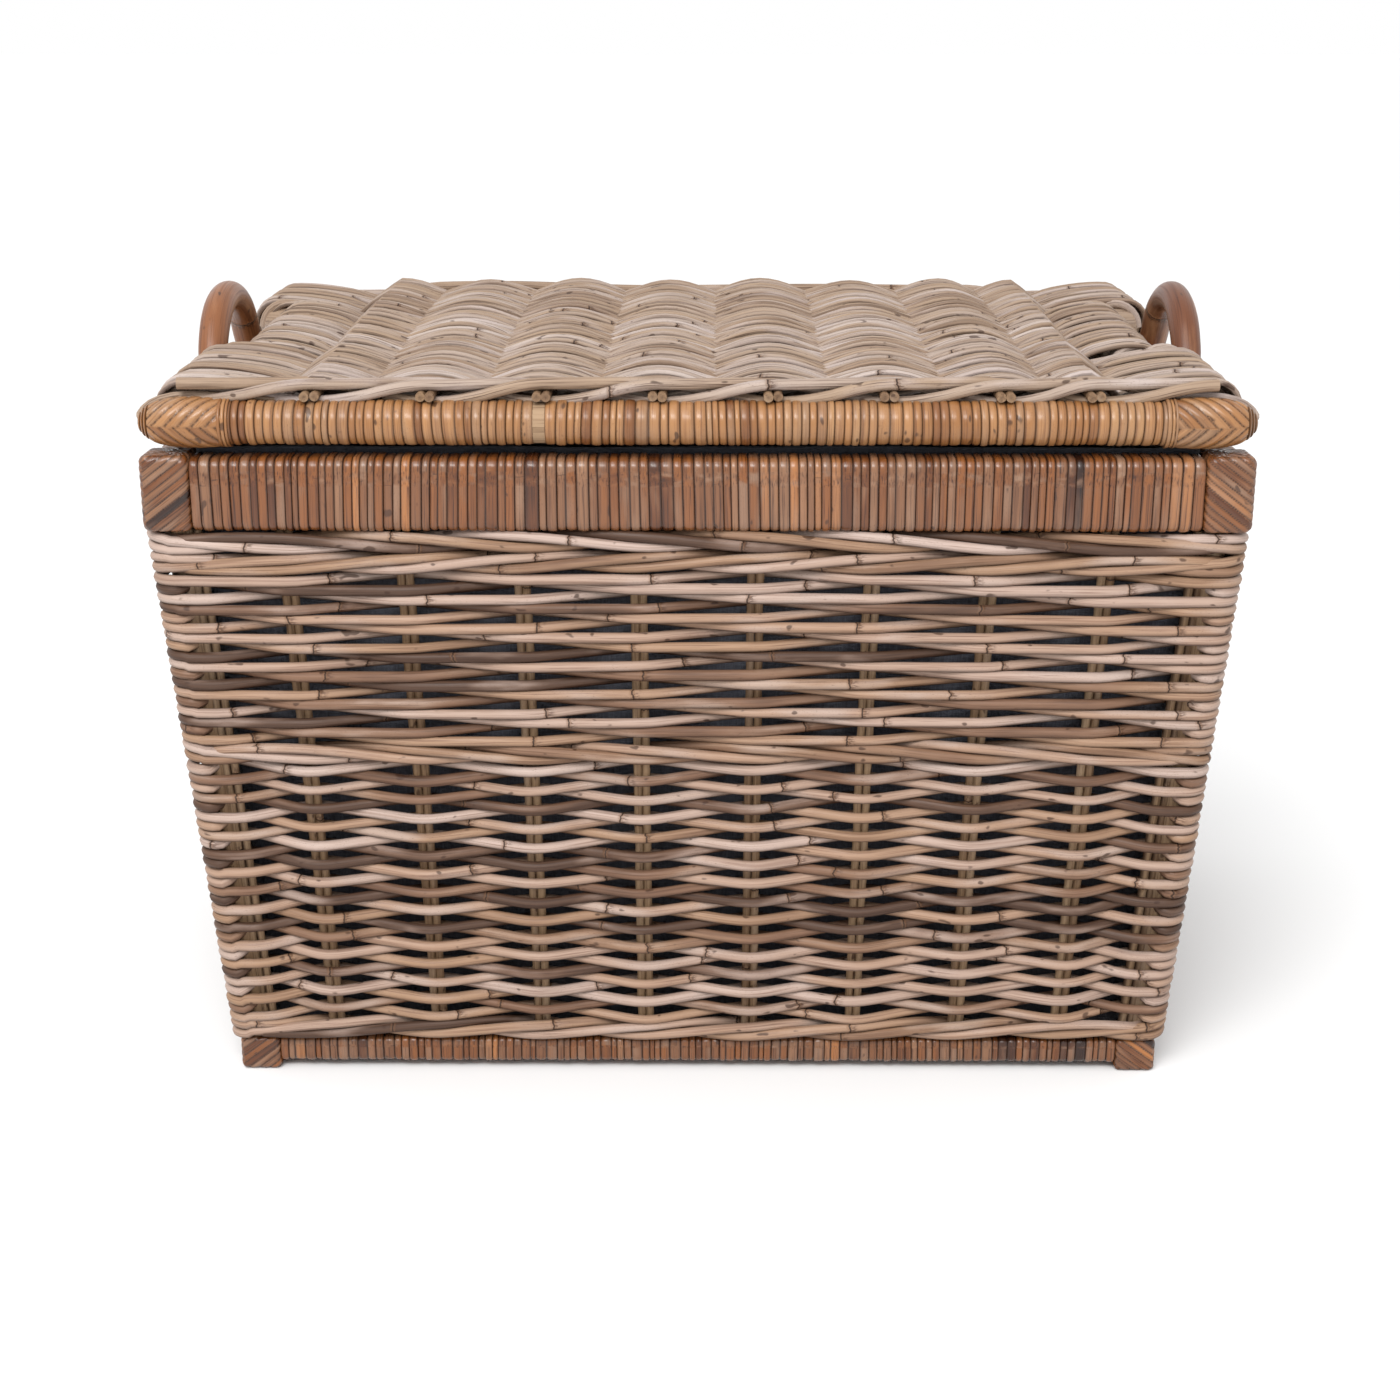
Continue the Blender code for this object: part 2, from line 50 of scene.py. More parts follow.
# Woven walls
WALL_SWELL_LOW = (3.0 * MM, 0.3 * MM)  # how far the weave's foot stands out of the CAD walls, in X and Y
WALL_SWELL_HIGH = (5.5 * MM, 0.6 * MM)  # and how far its top does
POST_INSET = 17.0 * MM  # from the weave's outside to the axis of its rounded corner
STRAND = 3.55 * MM  # radius of a weaving strand
STRAND_SIDES = 10
STAKE = 2.9 * MM  # radius of one rod of a stake pair
STAKE_FLAT = 4.5 * MM  # half length over which a strand lies flat on a pair
STEP = 6.5 * MM
CORNER_STEPS = 7
WALE_HALF = 4.1 * MM  # how far a wale's strands rise and fall
WALE_PITCH = 14.0 * MM
TWILL_ROWS = 18
TWILL_PITCH = 6.55 * MM
PLAIN_ROWS = 28
PLAIN_PITCH = 6.9 * MM
TWILL_DIP = 0.9 * MM  # a strand sags by this in front of a stake and rises as much behind it
PLAIN_DIP = 2.1 * MM
SIDE_STAKES = 5
CORNER_STAKE = 0.8  # place of the stake next to a corner post, between the last pair and the post
WEAVE_PIECES = 8

# Wrapping
PEEL_CROWN = 0.95 * MM  # how far the middle of a strip stands over its edges
WRAP_PROFILE = ((0.0, 0.0), (0.07, 0.55), (0.25, 0.92), (0.5, 1.0), (0.75, 0.92), (0.93, 0.55), (1.0, 0.0))
BRAID_STRIP = 4.4 * MM
BLOCK_STRIP = BRAID_STRIP * 1.25  # pitch of the strips on a corner block
BRAID_STEP = 1.1 * MM  # size of the mesh's steps on a corner block
RIM = {"pitch": 5.9 * MM, "rounding": 7.5 * MM, "sunk": 1.0 * MM}
BASE = {"pitch": 5.6 * MM, "rounding": 5.0 * MM, "sunk": 0.3 * MM}

# Handles
HANDLE_RISE = 0.0523
HANDLE_LEAN = 4.5 * MM
BINDING_PITCH = 4.3 * MM

# Lid
LID_ROWS = 98
LID_WEAVE_HALF = 0.218  # half the depth that its strands cover
LID_STRAND_WIDTH = 4.4 * MM  # half
LID_STRAND_THICK = 2.0 * MM  # half
LID_WAVE = 7.2 * MM  # how far a strand rises over a bar and dips under it
LID_BAND = 8  # strands in a band
LID_CROWN = 3.2 * MM  # how far a band's middle strands stand proud of its outer ones
LID_TILT = 9.0 * MM  # how much higher the weave lies towards the back
POLE_RADIUS = 14.2 * MM
POLE_DROP = 16.2 * MM  # from the top of the side borders' strands to the pole's axis
POLE_MARGIN = 4.0 * MM  # a strand starts its turn this far short of the pole's axis
POLE_HALF = 0.205  # half length of a pole
EDGE_PLACE = 0.2215  # from the middle to the long strands along the front and the back
EDGE_SWEEP = 5.0 * MM  # how far they swing to each side of that
BORDER_PLACE = 0.2  # from the middle, where the borders are measured for the long strands
BACK_REACH = 0.262  # end of the strands that close the back
CROSSING = 0.46  # twice the share of the way from the last bar to the pole at which strands cross
RAIL_RADIUS = 14.0 * MM
RAIL_PITCH = 5.8 * MM
RAIL_RUNS = {"front": (-1.0, -0.345, -0.321, 1.0), "back": (-1.0, 1.0)}  # ends of the wrapping, as shares
CAP_LENGTH = 0.055
CAP_STRIP = 8.6 * MM
CAP_STOPS = (  # distance from the tip, and radius in mm
    (0.055, 14.8), (0.050, 15.6), (0.042, 16.2), (0.030, 16.3), (0.020, 15.5), (0.012, 13.6),
    (0.006, 10.8), (0.002, 7.4), (0.0, 4.0),
)

# Hinge straps
STRAP_OUTER = 5.7 * MM
STRAP_TURN = 290  # degrees round the rod

# Liner: half width and half depth at its top, at the foot of its walls and on the floor
LINER_TOP = (0.3230, 0.2130)
LINER_FOOT = (0.3000, 0.1900)
LINER_FLOOR = (0.2895, 0.1795)
LINER_CORNER = 0.010
LINER_LIP = 3.0 * MM
LINER_FOLD = 4.6 * MM
LINER_CLOTH = 0.6 * MM
LINER_POINTS = 320
LINER_LEVELS = 46
LINER_FOOT_Z = 0.030
LINER_HIGH_Z = 0.385  # where its walls have their full width

# Studio
CAMERA_PLACE = (0.0104, -1.6004, 0.7149)
CAMERA_DOWN = 17.70  # degrees below level
CAMERA_YAW = 0.3556
CAMERA_LENS = 56.35


def rng_for(name):
    return np.random.default_rng(zlib.crc32(name.encode()))


def unit(v):
    return v / np.linalg.norm(v, axis=-1, keepdims=True)


def smoothstep(t):
    t = np.clip(t, 0, 1)
    return t * t * (3 - 2 * t)


# ---------------------------------------------------------------- the frame's measures


def points_of(node):
    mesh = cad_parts[node].data
    flat = np.empty(len(mesh.vertices) * 3, np.float32)
    mesh.vertices.foreach_get("co", flat)
    return flat.reshape(-1, 3).astype(float)


def level_of(node, top):
    """A node's points at its highest or lowest level."""
    points = points_of(node)
    z = points[:, 2].max() if top else points[:, 2].min()
    return points[abs(points[:, 2] - z) < 0.1 * MM]


def middle_of(node, top):
    level = level_of(node, top)
    return (level.max(0) + level.min(0)) / 2


def centre_of(node):
    low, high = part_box(node)
    return np.array((low + high) / 2)


def half_of(node):
    low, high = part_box(node)
    return np.array((high - low) / 2)


MID_Y = (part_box("wall_front")[0].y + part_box("wall_back")[1].y) / 2
WALL_LOW_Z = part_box("wall_front")[0].z
WALL_HIGH_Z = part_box("wall_front")[1].z


def wall_half(top):
    """Outer half width and half depth of the CAD walls at their foot or their top."""
    width = level_of("wall_right", top)[:, 0].max()
    return np.array((width, MID_Y - level_of("wall_front", top)[:, 1].min()))


WALL_ENDS = (wall_half(False) + np.array(WALL_SWELL_LOW), wall_half(True) + np.array(WALL_SWELL_HIGH))
WALL_LEAN = (WALL_ENDS[1][1] - WALL_ENDS[0][1]) / (WALL_HIGH_Z - WALL_LOW_Z)
WALL_THICK = 2 * (middle_of("stake_pair_1", True)[1] - (MID_Y - WALL_ENDS[1][1]))
STAKE_ENDS = [
    (middle_of(f"stake_pair_{k + 1}", False)[0], middle_of(f"stake_pair_{k + 1}", True)[0])
    for k in range(8)
]


def height_share(z):
    return (z - WALL_LOW_Z) / (WALL_HIGH_Z - WALL_LOW_Z)


def outer_half(z):
    return WALL_ENDS[0] + (WALL_ENDS[1] - WALL_ENDS[0]) * height_share(z)


def stake_places(side, z):
    """Places of the stake pairs along a side at a height, in the order in which the weave meets them."""
    front = np.array([low + (high - low) * height_share(z) for low, high in STAKE_ENDS])
    if side % 2 == 0:
        return front
    pitch = front[1] - front[0]
    return (np.arange(SIDE_STAKES) - (SIDE_STAKES - 1) / 2) * pitch


# ---------------------------------------------------------------- meshes


class Skin:
    """Collects rings of points into one mesh, with each strand's own number and its grain's coordinates."""

    def __init__(self):
        self.points, self.faces, self.seeds, self.grains, self.depths = [], [], [], [], []
        self.count = 0

    def add(self, points, seeds, grains, depths):
        self.points.append(points)
        self.seeds.append(np.broadcast_to(seeds, len(points)))
        self.grains.append(grains)
        self.depths.append(np.broadcast_to(depths, len(points)))
        first = self.count
        self.count += len(points)
        return first

    def rings(self, grid, seeds, grains, depths=0.0, caps=True):
        """A skin over (rings, points, 3), with the points running round the direction of travel."""
        n, m = grid.shape[:2]
        depths = np.broadcast_to(depths, (n, m))
        seeds = np.asarray(seeds, float)
        seeds = np.broadcast_to(seeds if seeds.ndim == 2 else seeds.reshape(-1, 1), (n, m))
        first = self.add(grid.reshape(-1, 3), seeds.ravel(), grains.reshape(-1, 3), depths.ravel())
        index = first + np.arange(n * m).reshape(n, m)
        after = np.roll(index, -1, axis=1)
        quads = np.stack([index[:-1], after[:-1], after[1:], index[1:]], axis=-1)
        self.faces.extend(quads.reshape(-1, 4).tolist())
        if caps:
            for ring, order in ((0, -1), (n - 1, 1)):
                # Each cap's middle gets a depth of 0.6, which darkens cut ends
                centre = self.add(grid[ring].mean(0)[None], seeds[ring, :1], grains[ring].mean(0)[None], 0.6)
                fan = np.stack([np.full(m, centre), index[ring], after[ring]][::order], axis=-1)
                self.faces.extend(fan.tolist())

    def tube(self, path, radius, seed, sides=STRAND_SIDES, flat=1.0, up=(0, 0, 1), start=0.0,
             shade=(0, 0), edge=0.0):
        """A rod along a path; flat squeezes it along up. shade says how much painted shade its face towards
        up and the face to its side get, as in a crevice, and edge how much painted shade both its edges get."""
        path = np.asarray(path, float)
        travel = unit(np.gradient(path, axis=0))
        up = np.broadcast_to(np.asarray(up, float), path.shape)
        a = unit(up - (up * travel).sum(1, keepdims=True) * travel)
        b = np.cross(travel, a)
        turn = np.linspace(0, 2 * math.pi, sides, endpoint=False)
        radius = np.broadcast_to(radius, len(path))[:, None]
        high = (radius * flat * np.cos(turn))[..., None]
        wide = (radius * np.sin(turn))[..., None]
        grid = path[:, None] + high * a[:, None] + wide * b[:, None]
        along = start + np.concatenate([[0], np.cumsum(np.linalg.norm(np.diff(path, axis=0), axis=1))])
        grains = np.concatenate(
            [high, wide, np.broadcast_to(along[:, None, None], high.shape)], axis=-1
        )
        depths = 0.5 * (shade[0] * np.cos(turn) + shade[1] * np.sin(turn))
        depths = depths + 0.25 * (abs(shade[0]) + abs(shade[1]))
        depths = depths + edge * np.abs(np.sin(turn)) ** 5
        self.rings(grid, seed, grains, np.clip(depths, 0, 1))

    def build(self, name, look, slot, body, nodes=()):
        mesh = bpy.data.meshes.new(name)
        mesh.from_pydata(np.concatenate(self.points).tolist(), [], self.faces)
        seeds = mesh.attributes.new("seed", "FLOAT", "POINT")
        seeds.data.foreach_set("value", np.concatenate(self.seeds).astype(np.float32))
        # The depth attribute holds the amount of painted shade, and the darkening of cut ends
        depths = mesh.attributes.new("depth", "FLOAT", "POINT")
        depths.data.foreach_set("value", np.concatenate(self.depths).astype(np.float32))
        grains = mesh.attributes.new("grain", "FLOAT_VECTOR", "POINT")
        grains.data.foreach_set("vector", np.concatenate(self.grains).astype(np.float32).ravel())
        mesh.shade_smooth()
        mesh.set_sharp_from_angle(angle=math.radians(62))
        mesh.materials.append(look)
        obj = bpy.data.objects.new(name, mesh)
        bpy.context.scene.collection.objects.link(obj)
        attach(obj, body)
        if nodes:
            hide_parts(*nodes)
        return obj


def wander(rng, length, size, waves=(3.0, 9.0)):
    """A smooth random wobble, a function of the distance along a strand."""
    turns = rng.uniform(*waves, 3)
    phases = rng.uniform(0, 2 * math.pi, 3)
    amounts = size * rng.uniform(0.3, 1.0, 3) / 2
    return sum(a * np.sin(2 * math.pi * t * length + p) for a, t, p in zip(amounts, turns, phases))


# ---------------------------------------------------------------- materials


def srgb(*channels):
    """A colour given by its 0 to 255 screen values, as linear light."""
    linear = [c / 255 / 12.92 if c <= 10 else ((c / 255 + 0.055) / 1.055) ** 2.4 for c in channels]
    return (*linear, 1.0)


class Nodes:
    """A short way to write a node tree."""

    def __init__(self, name):
        self.material = bpy.data.materials.new(name)
        self.material.use_nodes = True
        self.tree = self.material.node_tree
        self.shader = self.tree.nodes["Principled BSDF"]

    def link(self, source, socket):
        if isinstance(source, (int, float)):
            socket.default_value = source
        elif isinstance(source, tuple):
            socket.default_value = source[: len(socket.default_value)]
        else:
            self.tree.links.new(source, socket)

    def attribute(self, name, output):
        node = self.tree.nodes.new("ShaderNodeAttribute")
        node.attribute_name = name
        return node.outputs[output]

    def maths(self, operation, a, b=0.0):
        node = self.tree.nodes.new("ShaderNodeMath")
        node.operation = operation
        self.link(a, node.inputs[0])
        self.link(b, node.inputs[1])
        return node.outputs[0]

    def vector(self, operation, a, b):
        node = self.tree.nodes.new("ShaderNodeVectorMath")
        node.operation = operation
        self.link(a, node.inputs[0])
        self.link(b, node.inputs[1])
        return node.outputs[0]

    def spread(self, value):
        node = self.tree.nodes.new("ShaderNodeCombineXYZ")
        for socket, factor in zip(node.inputs, (1.7, 2.9, 4.3)):
            self.link(self.maths("MULTIPLY", value, factor), socket)
        return node.outputs[0]

    def noise(self, place, stretch, detail=2.0):
        node = self.tree.nodes.new("ShaderNodeTexNoise")
        node.inputs["Scale"].default_value = 1.0
        node.inputs["Detail"].default_value = detail
        self.link(self.vector("MULTIPLY", place, stretch), node.inputs["Vector"])
        return node.outputs["Fac"]

    def remap(self, value, low, high, to_low=0.0, to_high=1.0):
        node = self.tree.nodes.new("ShaderNodeMapRange")
        node.interpolation_type = "SMOOTHSTEP"
        for source, socket in zip((value, low, high, to_low, to_high), node.inputs):
            self.link(source, socket)
        return node.outputs[0]

    def ramp(self, value, stops):
        node = self.tree.nodes.new("ShaderNodeValToRGB")
        elements = node.color_ramp.elements
        while len(elements) < len(stops):
            elements.new(0.5)
        for element, (place, colour) in zip(elements, stops):
            element.position = place
            element.color = colour
        self.link(value, node.inputs[0])
        return node.outputs[0]

    def mix(self, share, a, b, blend="MIX"):
        node = self.tree.nodes.new("ShaderNodeMix")
        node.data_type = "RGBA"
        node.blend_type = blend
        self.link(share, node.inputs["Factor"])
        self.link(a, node.inputs[6])
        self.link(b, node.inputs[7])
        return node.outputs[2]

    def bump(self, height, distance, strength=1.0):
        node = self.tree.nodes.new("ShaderNodeBump")
        node.inputs["Distance"].default_value = distance
        node.inputs["Strength"].default_value = strength
        self.link(height, node.inputs["Height"])
        self.tree.links.new(node.outputs[0], self.shader.inputs["Normal"])

    def finish(self, colour, roughness):
        self.link(colour, self.shader.inputs["Base Color"])
        self.link(roughness, self.shader.inputs["Roughness"])
        return self.material


def rattan(name, tones, shade, bloom, rough, joint=0.0, relief=0.35 * MM, streak=0.5, coat=0.0,
           painted_shade_and_cut_ends=0.75):
    """Rattan with fibres along each strand, tone by strand, pale bloom, dark specks and knots, painted shade
    in crevices and under strands, darker cut ends and, given a spacing, the dark rings of its joints."""
    n = Nodes(name)
    seed = n.attribute("seed", "Fac")
    grain = n.attribute("grain", "Vector")
    place = n.vector("ADD", grain, n.spread(seed))
    fibres = n.noise(place, (1300, 1300, 24), 3.0)
    bands = n.noise(place, (420, 420, 9), 2.0)
    patches = n.noise(place, (60, 60, 13), 3.0)
    fine = n.noise(place, (2400, 2400, 700), 2.0)
    depth = n.attribute("depth", "Fac")
    own = n.ramp(n.maths("ADD", seed, n.maths("MULTIPLY", n.maths("SUBTRACT", patches, 0.5), 0.5)), tones)
    colour = n.mix(n.maths("MULTIPLY", n.remap(fibres, 0.5, 0.72), streak), own, shade, "MULTIPLY")
    colour = n.mix(n.maths("MULTIPLY", n.remap(bands, 0.52, 0.7), 0.35), colour, shade, "MULTIPLY")
    colour = n.mix(n.maths("MULTIPLY", n.remap(patches, 0.5, 0.75), 0.55), colour, bloom)
    specks = n.maths("MULTIPLY", n.remap(fine, 0.63, 0.7), n.remap(patches, 0.42, 0.56))
    colour = n.mix(n.maths("MULTIPLY", specks, 0.5), colour, srgb(70, 42, 26))
    knots = n.maths("MULTIPLY", n.remap(n.noise(place, (150, 150, 85), 1.0), 0.70, 0.76), 0.75)
    colour = n.mix(knots, colour, srgb(52, 28, 14))
    height = n.maths("ADD", n.maths("MULTIPLY", fibres, 0.7), n.maths("MULTIPLY", fine, 0.25))
    if joint:
        split = n.tree.nodes.new("ShaderNodeSeparateXYZ")
        n.link(place, split.inputs[0])
        ragged = n.maths("MULTIPLY", n.maths("SUBTRACT", n.noise(place, (260, 260, 30)), 0.5), 0.005)
        turn = n.maths("FRACT", n.maths("DIVIDE", n.maths("ADD", split.outputs[2], ragged), joint))
        past = n.maths("MULTIPLY", n.maths("SUBTRACT", turn, 0.5), joint)
        off = n.maths("ABSOLUTE", past)
        ring = n.remap(off, 0.25 * MM, 0.75 * MM, 1.0, 0.0)
        swell = n.remap(off, 0.6 * MM, 2.4 * MM, 1.0, 0.0)
        side = n.maths("MULTIPLY", n.remap(past, -1.0 * MM, 0.0), n.remap(past, 2.0 * MM, 7.0 * MM, 1.0, 0.0))
        stain = n.maths("MULTIPLY", side, n.remap(n.noise(place, (900, 900, 260)), 0.46, 0.56))
        colour = n.mix(n.maths("MULTIPLY", stain, 0.7), colour, srgb(70, 44, 30))
        colour = n.mix(n.maths("MULTIPLY", swell, 0.4), colour, srgb(124, 90, 64))
        colour = n.mix(n.maths("MULTIPLY", ring, 0.9), colour, srgb(44, 26, 16))
        height = n.maths("ADD", height, n.maths("SUBTRACT", n.maths("MULTIPLY", swell, 1.5), ring))
    # Painted shade: the depth attribute darkens crevices, strip edges and the undersides of strands, and also
    # the middles of cut ends
    colour = n.mix(n.maths("MULTIPLY", n.remap(depth, 0.1, 0.95), painted_shade_and_cut_ends), colour, srgb(48, 28, 18))
    n.bump(height, relief)
    n.shader.inputs["Specular IOR Level"].default_value = 0.32
    n.shader.inputs["Coat Weight"].default_value = coat
    n.shader.inputs["Coat Roughness"].default_value = 0.2
    return n.finish(colour, n.remap(bands, 0.3, 0.7, rough[0], rough[1]))


def cotton_look():
    """Grey cotton in plain weave, its tones darkened as painted shade, with more painted shade towards the
    floor and a painted dark band along its top for the shade under the lid.
    """
    n = Nodes("liner_cotton")
    grain = n.attribute("grain", "Vector")
    threads = []
    for axis in range(2):
        wave = n.tree.nodes.new("ShaderNodeTexWave")
        wave.bands_direction = "XY"[axis]
        wave.inputs["Scale"].default_value = 1.0
        wave.inputs["Distortion"].default_value = 1.5
        n.link(n.vector("MULTIPLY", grain, (260.0, 260.0, 260.0)), wave.inputs["Vector"])
        threads.append(wave.outputs["Fac"])
    weave = n.maths("MULTIPLY", threads[0], threads[1])
    slubs = n.maths("ADD", n.noise(grain, (90, 900, 1), 3.0), n.noise(grain, (900, 90, 1), 3.0))
    soft = n.noise(grain, (9, 9, 9), 2.0)
    # The cloth's tones are darkened as painted shade for the inside of the basket
    colour = n.ramp(n.maths("MULTIPLY", slubs, 0.5), ((0.38, srgb(78, 80, 90)), (0.62, srgb(104, 106, 116))))
    colour = n.mix(n.maths("MULTIPLY", weave, 0.35), colour, srgb(58, 60, 70))
    colour = n.mix(n.maths("MULTIPLY", n.remap(soft, 0.4, 0.7), 0.25), colour, srgb(118, 120, 130))
    split = n.tree.nodes.new("ShaderNodeSeparateXYZ")
    n.link(grain, split.inputs[0])
    height = split.outputs[2]
    # Painted shade, deepening towards the floor of the basket
    colour = n.mix(n.remap(height, 0.02, 0.30, 0.75, 0.0), colour, srgb(24, 24, 30))
    # Painted shade: a dark band along the top of the bag, for the dark gap under the lid
    colour = n.mix(n.remap(height, 0.428, 0.434, 0.0, 0.6), colour, srgb(20, 20, 24))
    n.bump(weave, 0.4 * MM, 0.7)
    n.shader.inputs["Sheen Weight"].default_value = 0.25
    return n.finish(colour, 0.92)


WEAVE_TONES = (
    (0.0, srgb(76, 54, 41)), (0.14, srgb(117, 87, 68)), (0.34, srgb(151, 120, 95)),
    (0.55, srgb(157, 127, 106)), (0.78, srgb(164, 139, 124)), (1.0, srgb(178, 157, 146)),
)
LID_TONES = (
    (0.0, srgb(107, 86, 69)), (0.2, srgb(137, 114, 96)), (0.45, srgb(153, 130, 109)),
    (0.7, srgb(157, 138, 124)), (1.0, srgb(178, 163, 154)),
)
PEEL_TONES = (
    (0.0, srgb(42, 18, 6)), (0.16, srgb(87, 47, 21)), (0.38, srgb(125, 74, 35)),
    (0.58, srgb(112, 72, 45)), (0.8, srgb(129, 92, 66)), (1.0, srgb(160, 101, 51)),
)
RAIL_TONES = (
    (0.0, srgb(112, 69, 38)), (0.3, srgb(142, 97, 57)), (0.6, srgb(158, 114, 74)),
    (0.8, srgb(139, 104, 75)), (1.0, srgb(171, 128, 85)),
)
CORE_TONES = ((0.0, srgb(116, 90, 67)), (0.5, srgb(140, 112, 84)), (1.0, srgb(155, 128, 100)))
CANE_TONES = ((0.0, srgb(100, 57, 32)), (0.5, srgb(119, 72, 41)), (1.0, srgb(133, 84, 50)))

LOOKS = {
    "weave": rattan("weave_strands", WEAVE_TONES, srgb(134, 98, 74), srgb(172, 154, 144), (0.42, 0.66),
                    joint=0.21, painted_shade_and_cut_ends=0.92),
    "lid": rattan("lid_strands", LID_TONES, srgb(112, 82, 62), srgb(178, 164, 160), (0.5, 0.75), joint=0.33,
                  streak=0.8, relief=0.5 * MM),
    "peel": rattan("peel_wrapping", PEEL_TONES, srgb(104, 60, 34), srgb(140, 112, 92), (0.24, 0.4),
                   streak=0.8, relief=0.3 * MM, coat=0.45, painted_shade_and_cut_ends=0.95),
    "rail": rattan("lid_rail_wrapping", RAIL_TONES, srgb(130, 84, 50), srgb(158, 124, 92), (0.26, 0.45),
                   streak=0.5, relief=0.25 * MM, coat=0.25),
    "core": rattan("stake_rods", CORE_TONES, srgb(120, 90, 66), srgb(160, 138, 118), (0.55, 0.75),
                   joint=0.27),
    "cane": rattan("handle_cane", CANE_TONES, srgb(128, 76, 46), srgb(190, 142, 104), (0.3, 0.45),
                   joint=0.145, coat=0.15),
    "cotton": cotton_look(),
}


# ---------------------------------------------------------------- woven walls


def side_frames(z, radius):
    """For each side in weaving order: direction, outward normal, half its straight length, and how far
    out its strands' centre line lies."""
    half_x, half_y = outer_half(z)
    long = half_x - POST_INSET
    short = half_y - POST_INSET
    return (
        (np.array((1, 0)), np.array((0, -1)), long, half_y - radius),
        (np.array((0, 1)), np.array((1, 0)), short, half_x - radius),
        (np.array((-1, 0)), np.array((0, 1)), long, half_y - radius),
        (np.array((0, -1)), np.array((-1, 0)), short, half_x - radius),
    )


def woven_loop(z, radius, outside, by_corner):
    """Plan of a strand once round the basket. outside(stake, station) is 1 or -1 for each stake; the
    corner posts are always passed outside, and so are the stakes next to them unless by_corner. Returns
    places, outward normals, how far outside each place is (1 to -1) and its place in stations."""
    places, normals, eases, stations = [], [], [], []
    station, stake = 0, 0
    frames = side_frames(z, radius)
    for side, (along, out, half, distance) in enumerate(frames):
        stakes = stake_places(side, z)
        beside = (half - stakes[-1]) * CORNER_STAKE + stakes[-1]
        stops = np.array([-half, -beside, *stakes, beside, half])
        states = [outside(stake + k, station + 1 + k) for k in range(len(stakes))]
        ends = [outside(stake + k, 0) if by_corner else 1.0 for k in (-1, len(stakes))]
        posts = [1.0 if by_corner or (n % 3 + outside.strand) % 3 else 0.0
                 for n in (station, station + len(stakes) + 1)]
        states = [posts[0], ends[0], *states, ends[1], posts[1]]
        u = np.concatenate([
            np.linspace(a, b, max(5, round((b - a) / STEP)), endpoint=False) for a, b in zip(stops, stops[1:])
        ])
        knots = np.concatenate([stops[1:-1] - STAKE_FLAT, stops[1:-1] + STAKE_FLAT, stops[[0, -1]]])
        order = np.argsort(knots)
        values = np.concatenate([states[1:-1], states[1:-1], posts])
        places.append(u[:, None] * along + distance * out)
        normals.append(np.broadcast_to(out, (len(u), 2)))
        eases.append(np.interp(u, knots[order], values[order]))
        numbers = [station + 0.25, *(station + 1 + np.arange(len(stakes))), station + len(stakes) + 0.75]
        stations.append(np.interp(u, [-half, *stakes, half], numbers))
        stake += len(stakes) + 2
        station += len(stakes) + 1
        next_out = frames[(side + 1) % 4][1]
        turn = np.linspace(0, math.pi / 2, CORNER_STEPS, endpoint=False)
        arc_out = np.cos(turn)[:, None] * out + np.sin(turn)[:, None] * next_out
        centre = half * along + (distance - (POST_INSET - radius)) * out
        places.append(centre + (POST_INSET - radius) * arc_out)
        normals.append(arc_out)
        eases.append(np.full(CORNER_STEPS, posts[1]))
        stations.append(station - 0.25 + turn / math.pi)
    places, normals, ease, stations = [np.concatenate(part) for part in (places, normals, eases, stations)]
    ease = 0.5 * ease + 0.25 * (np.roll(ease, 1) + np.roll(ease, -1))
    depth = (WALL_THICK - 2 * radius) * (1 - ease) / 2
    return places - normals * depth[:, None], normals, ease, stations


def twill_state(row):
    return lambda stake, station: -1.0 if (row - stake) % 3 == 2 else 1.0


def plain_state(row):
    return lambda stake, station: 1.0 if (row + stake) % 2 == 0 else -1.0


def wale_state(strand):
    def state(stake, station):
        return -1.0 if (station + strand) % 3 == 0 else 1.0

    state.strand = strand
    return state


def weave_rows():
    """Every loop from the top down: height, the rule for its stakes, its dip, and for a wale its strand
    and which way it slopes."""
    rows = []
    z = WALL_HIGH_Z - WALE_PITCH / 2

    def wale(z, slope):
        rows.extend((z, wale_state(strand), 0.0, strand, slope) for strand in range(3))

    wale(z, -1)
    wale(z - WALE_PITCH, 1)
    z -= 1.5 * WALE_PITCH + TWILL_PITCH / 2
    for row in range(TWILL_ROWS):
        rows.append((z - row * TWILL_PITCH, twill_state(row), TWILL_DIP, None, 0))
    z -= (TWILL_ROWS - 0.5) * TWILL_PITCH + WALE_PITCH / 2
    wale(z, -1)
    z -= WALE_PITCH / 2 + PLAIN_PITCH / 2
    for row in range(PLAIN_ROWS):
        rows.append((z - row * PLAIN_PITCH, plain_state(row), PLAIN_DIP, None, 0))
    wale(WALL_LOW_Z + WALE_PITCH / 2, 1)
    return rows


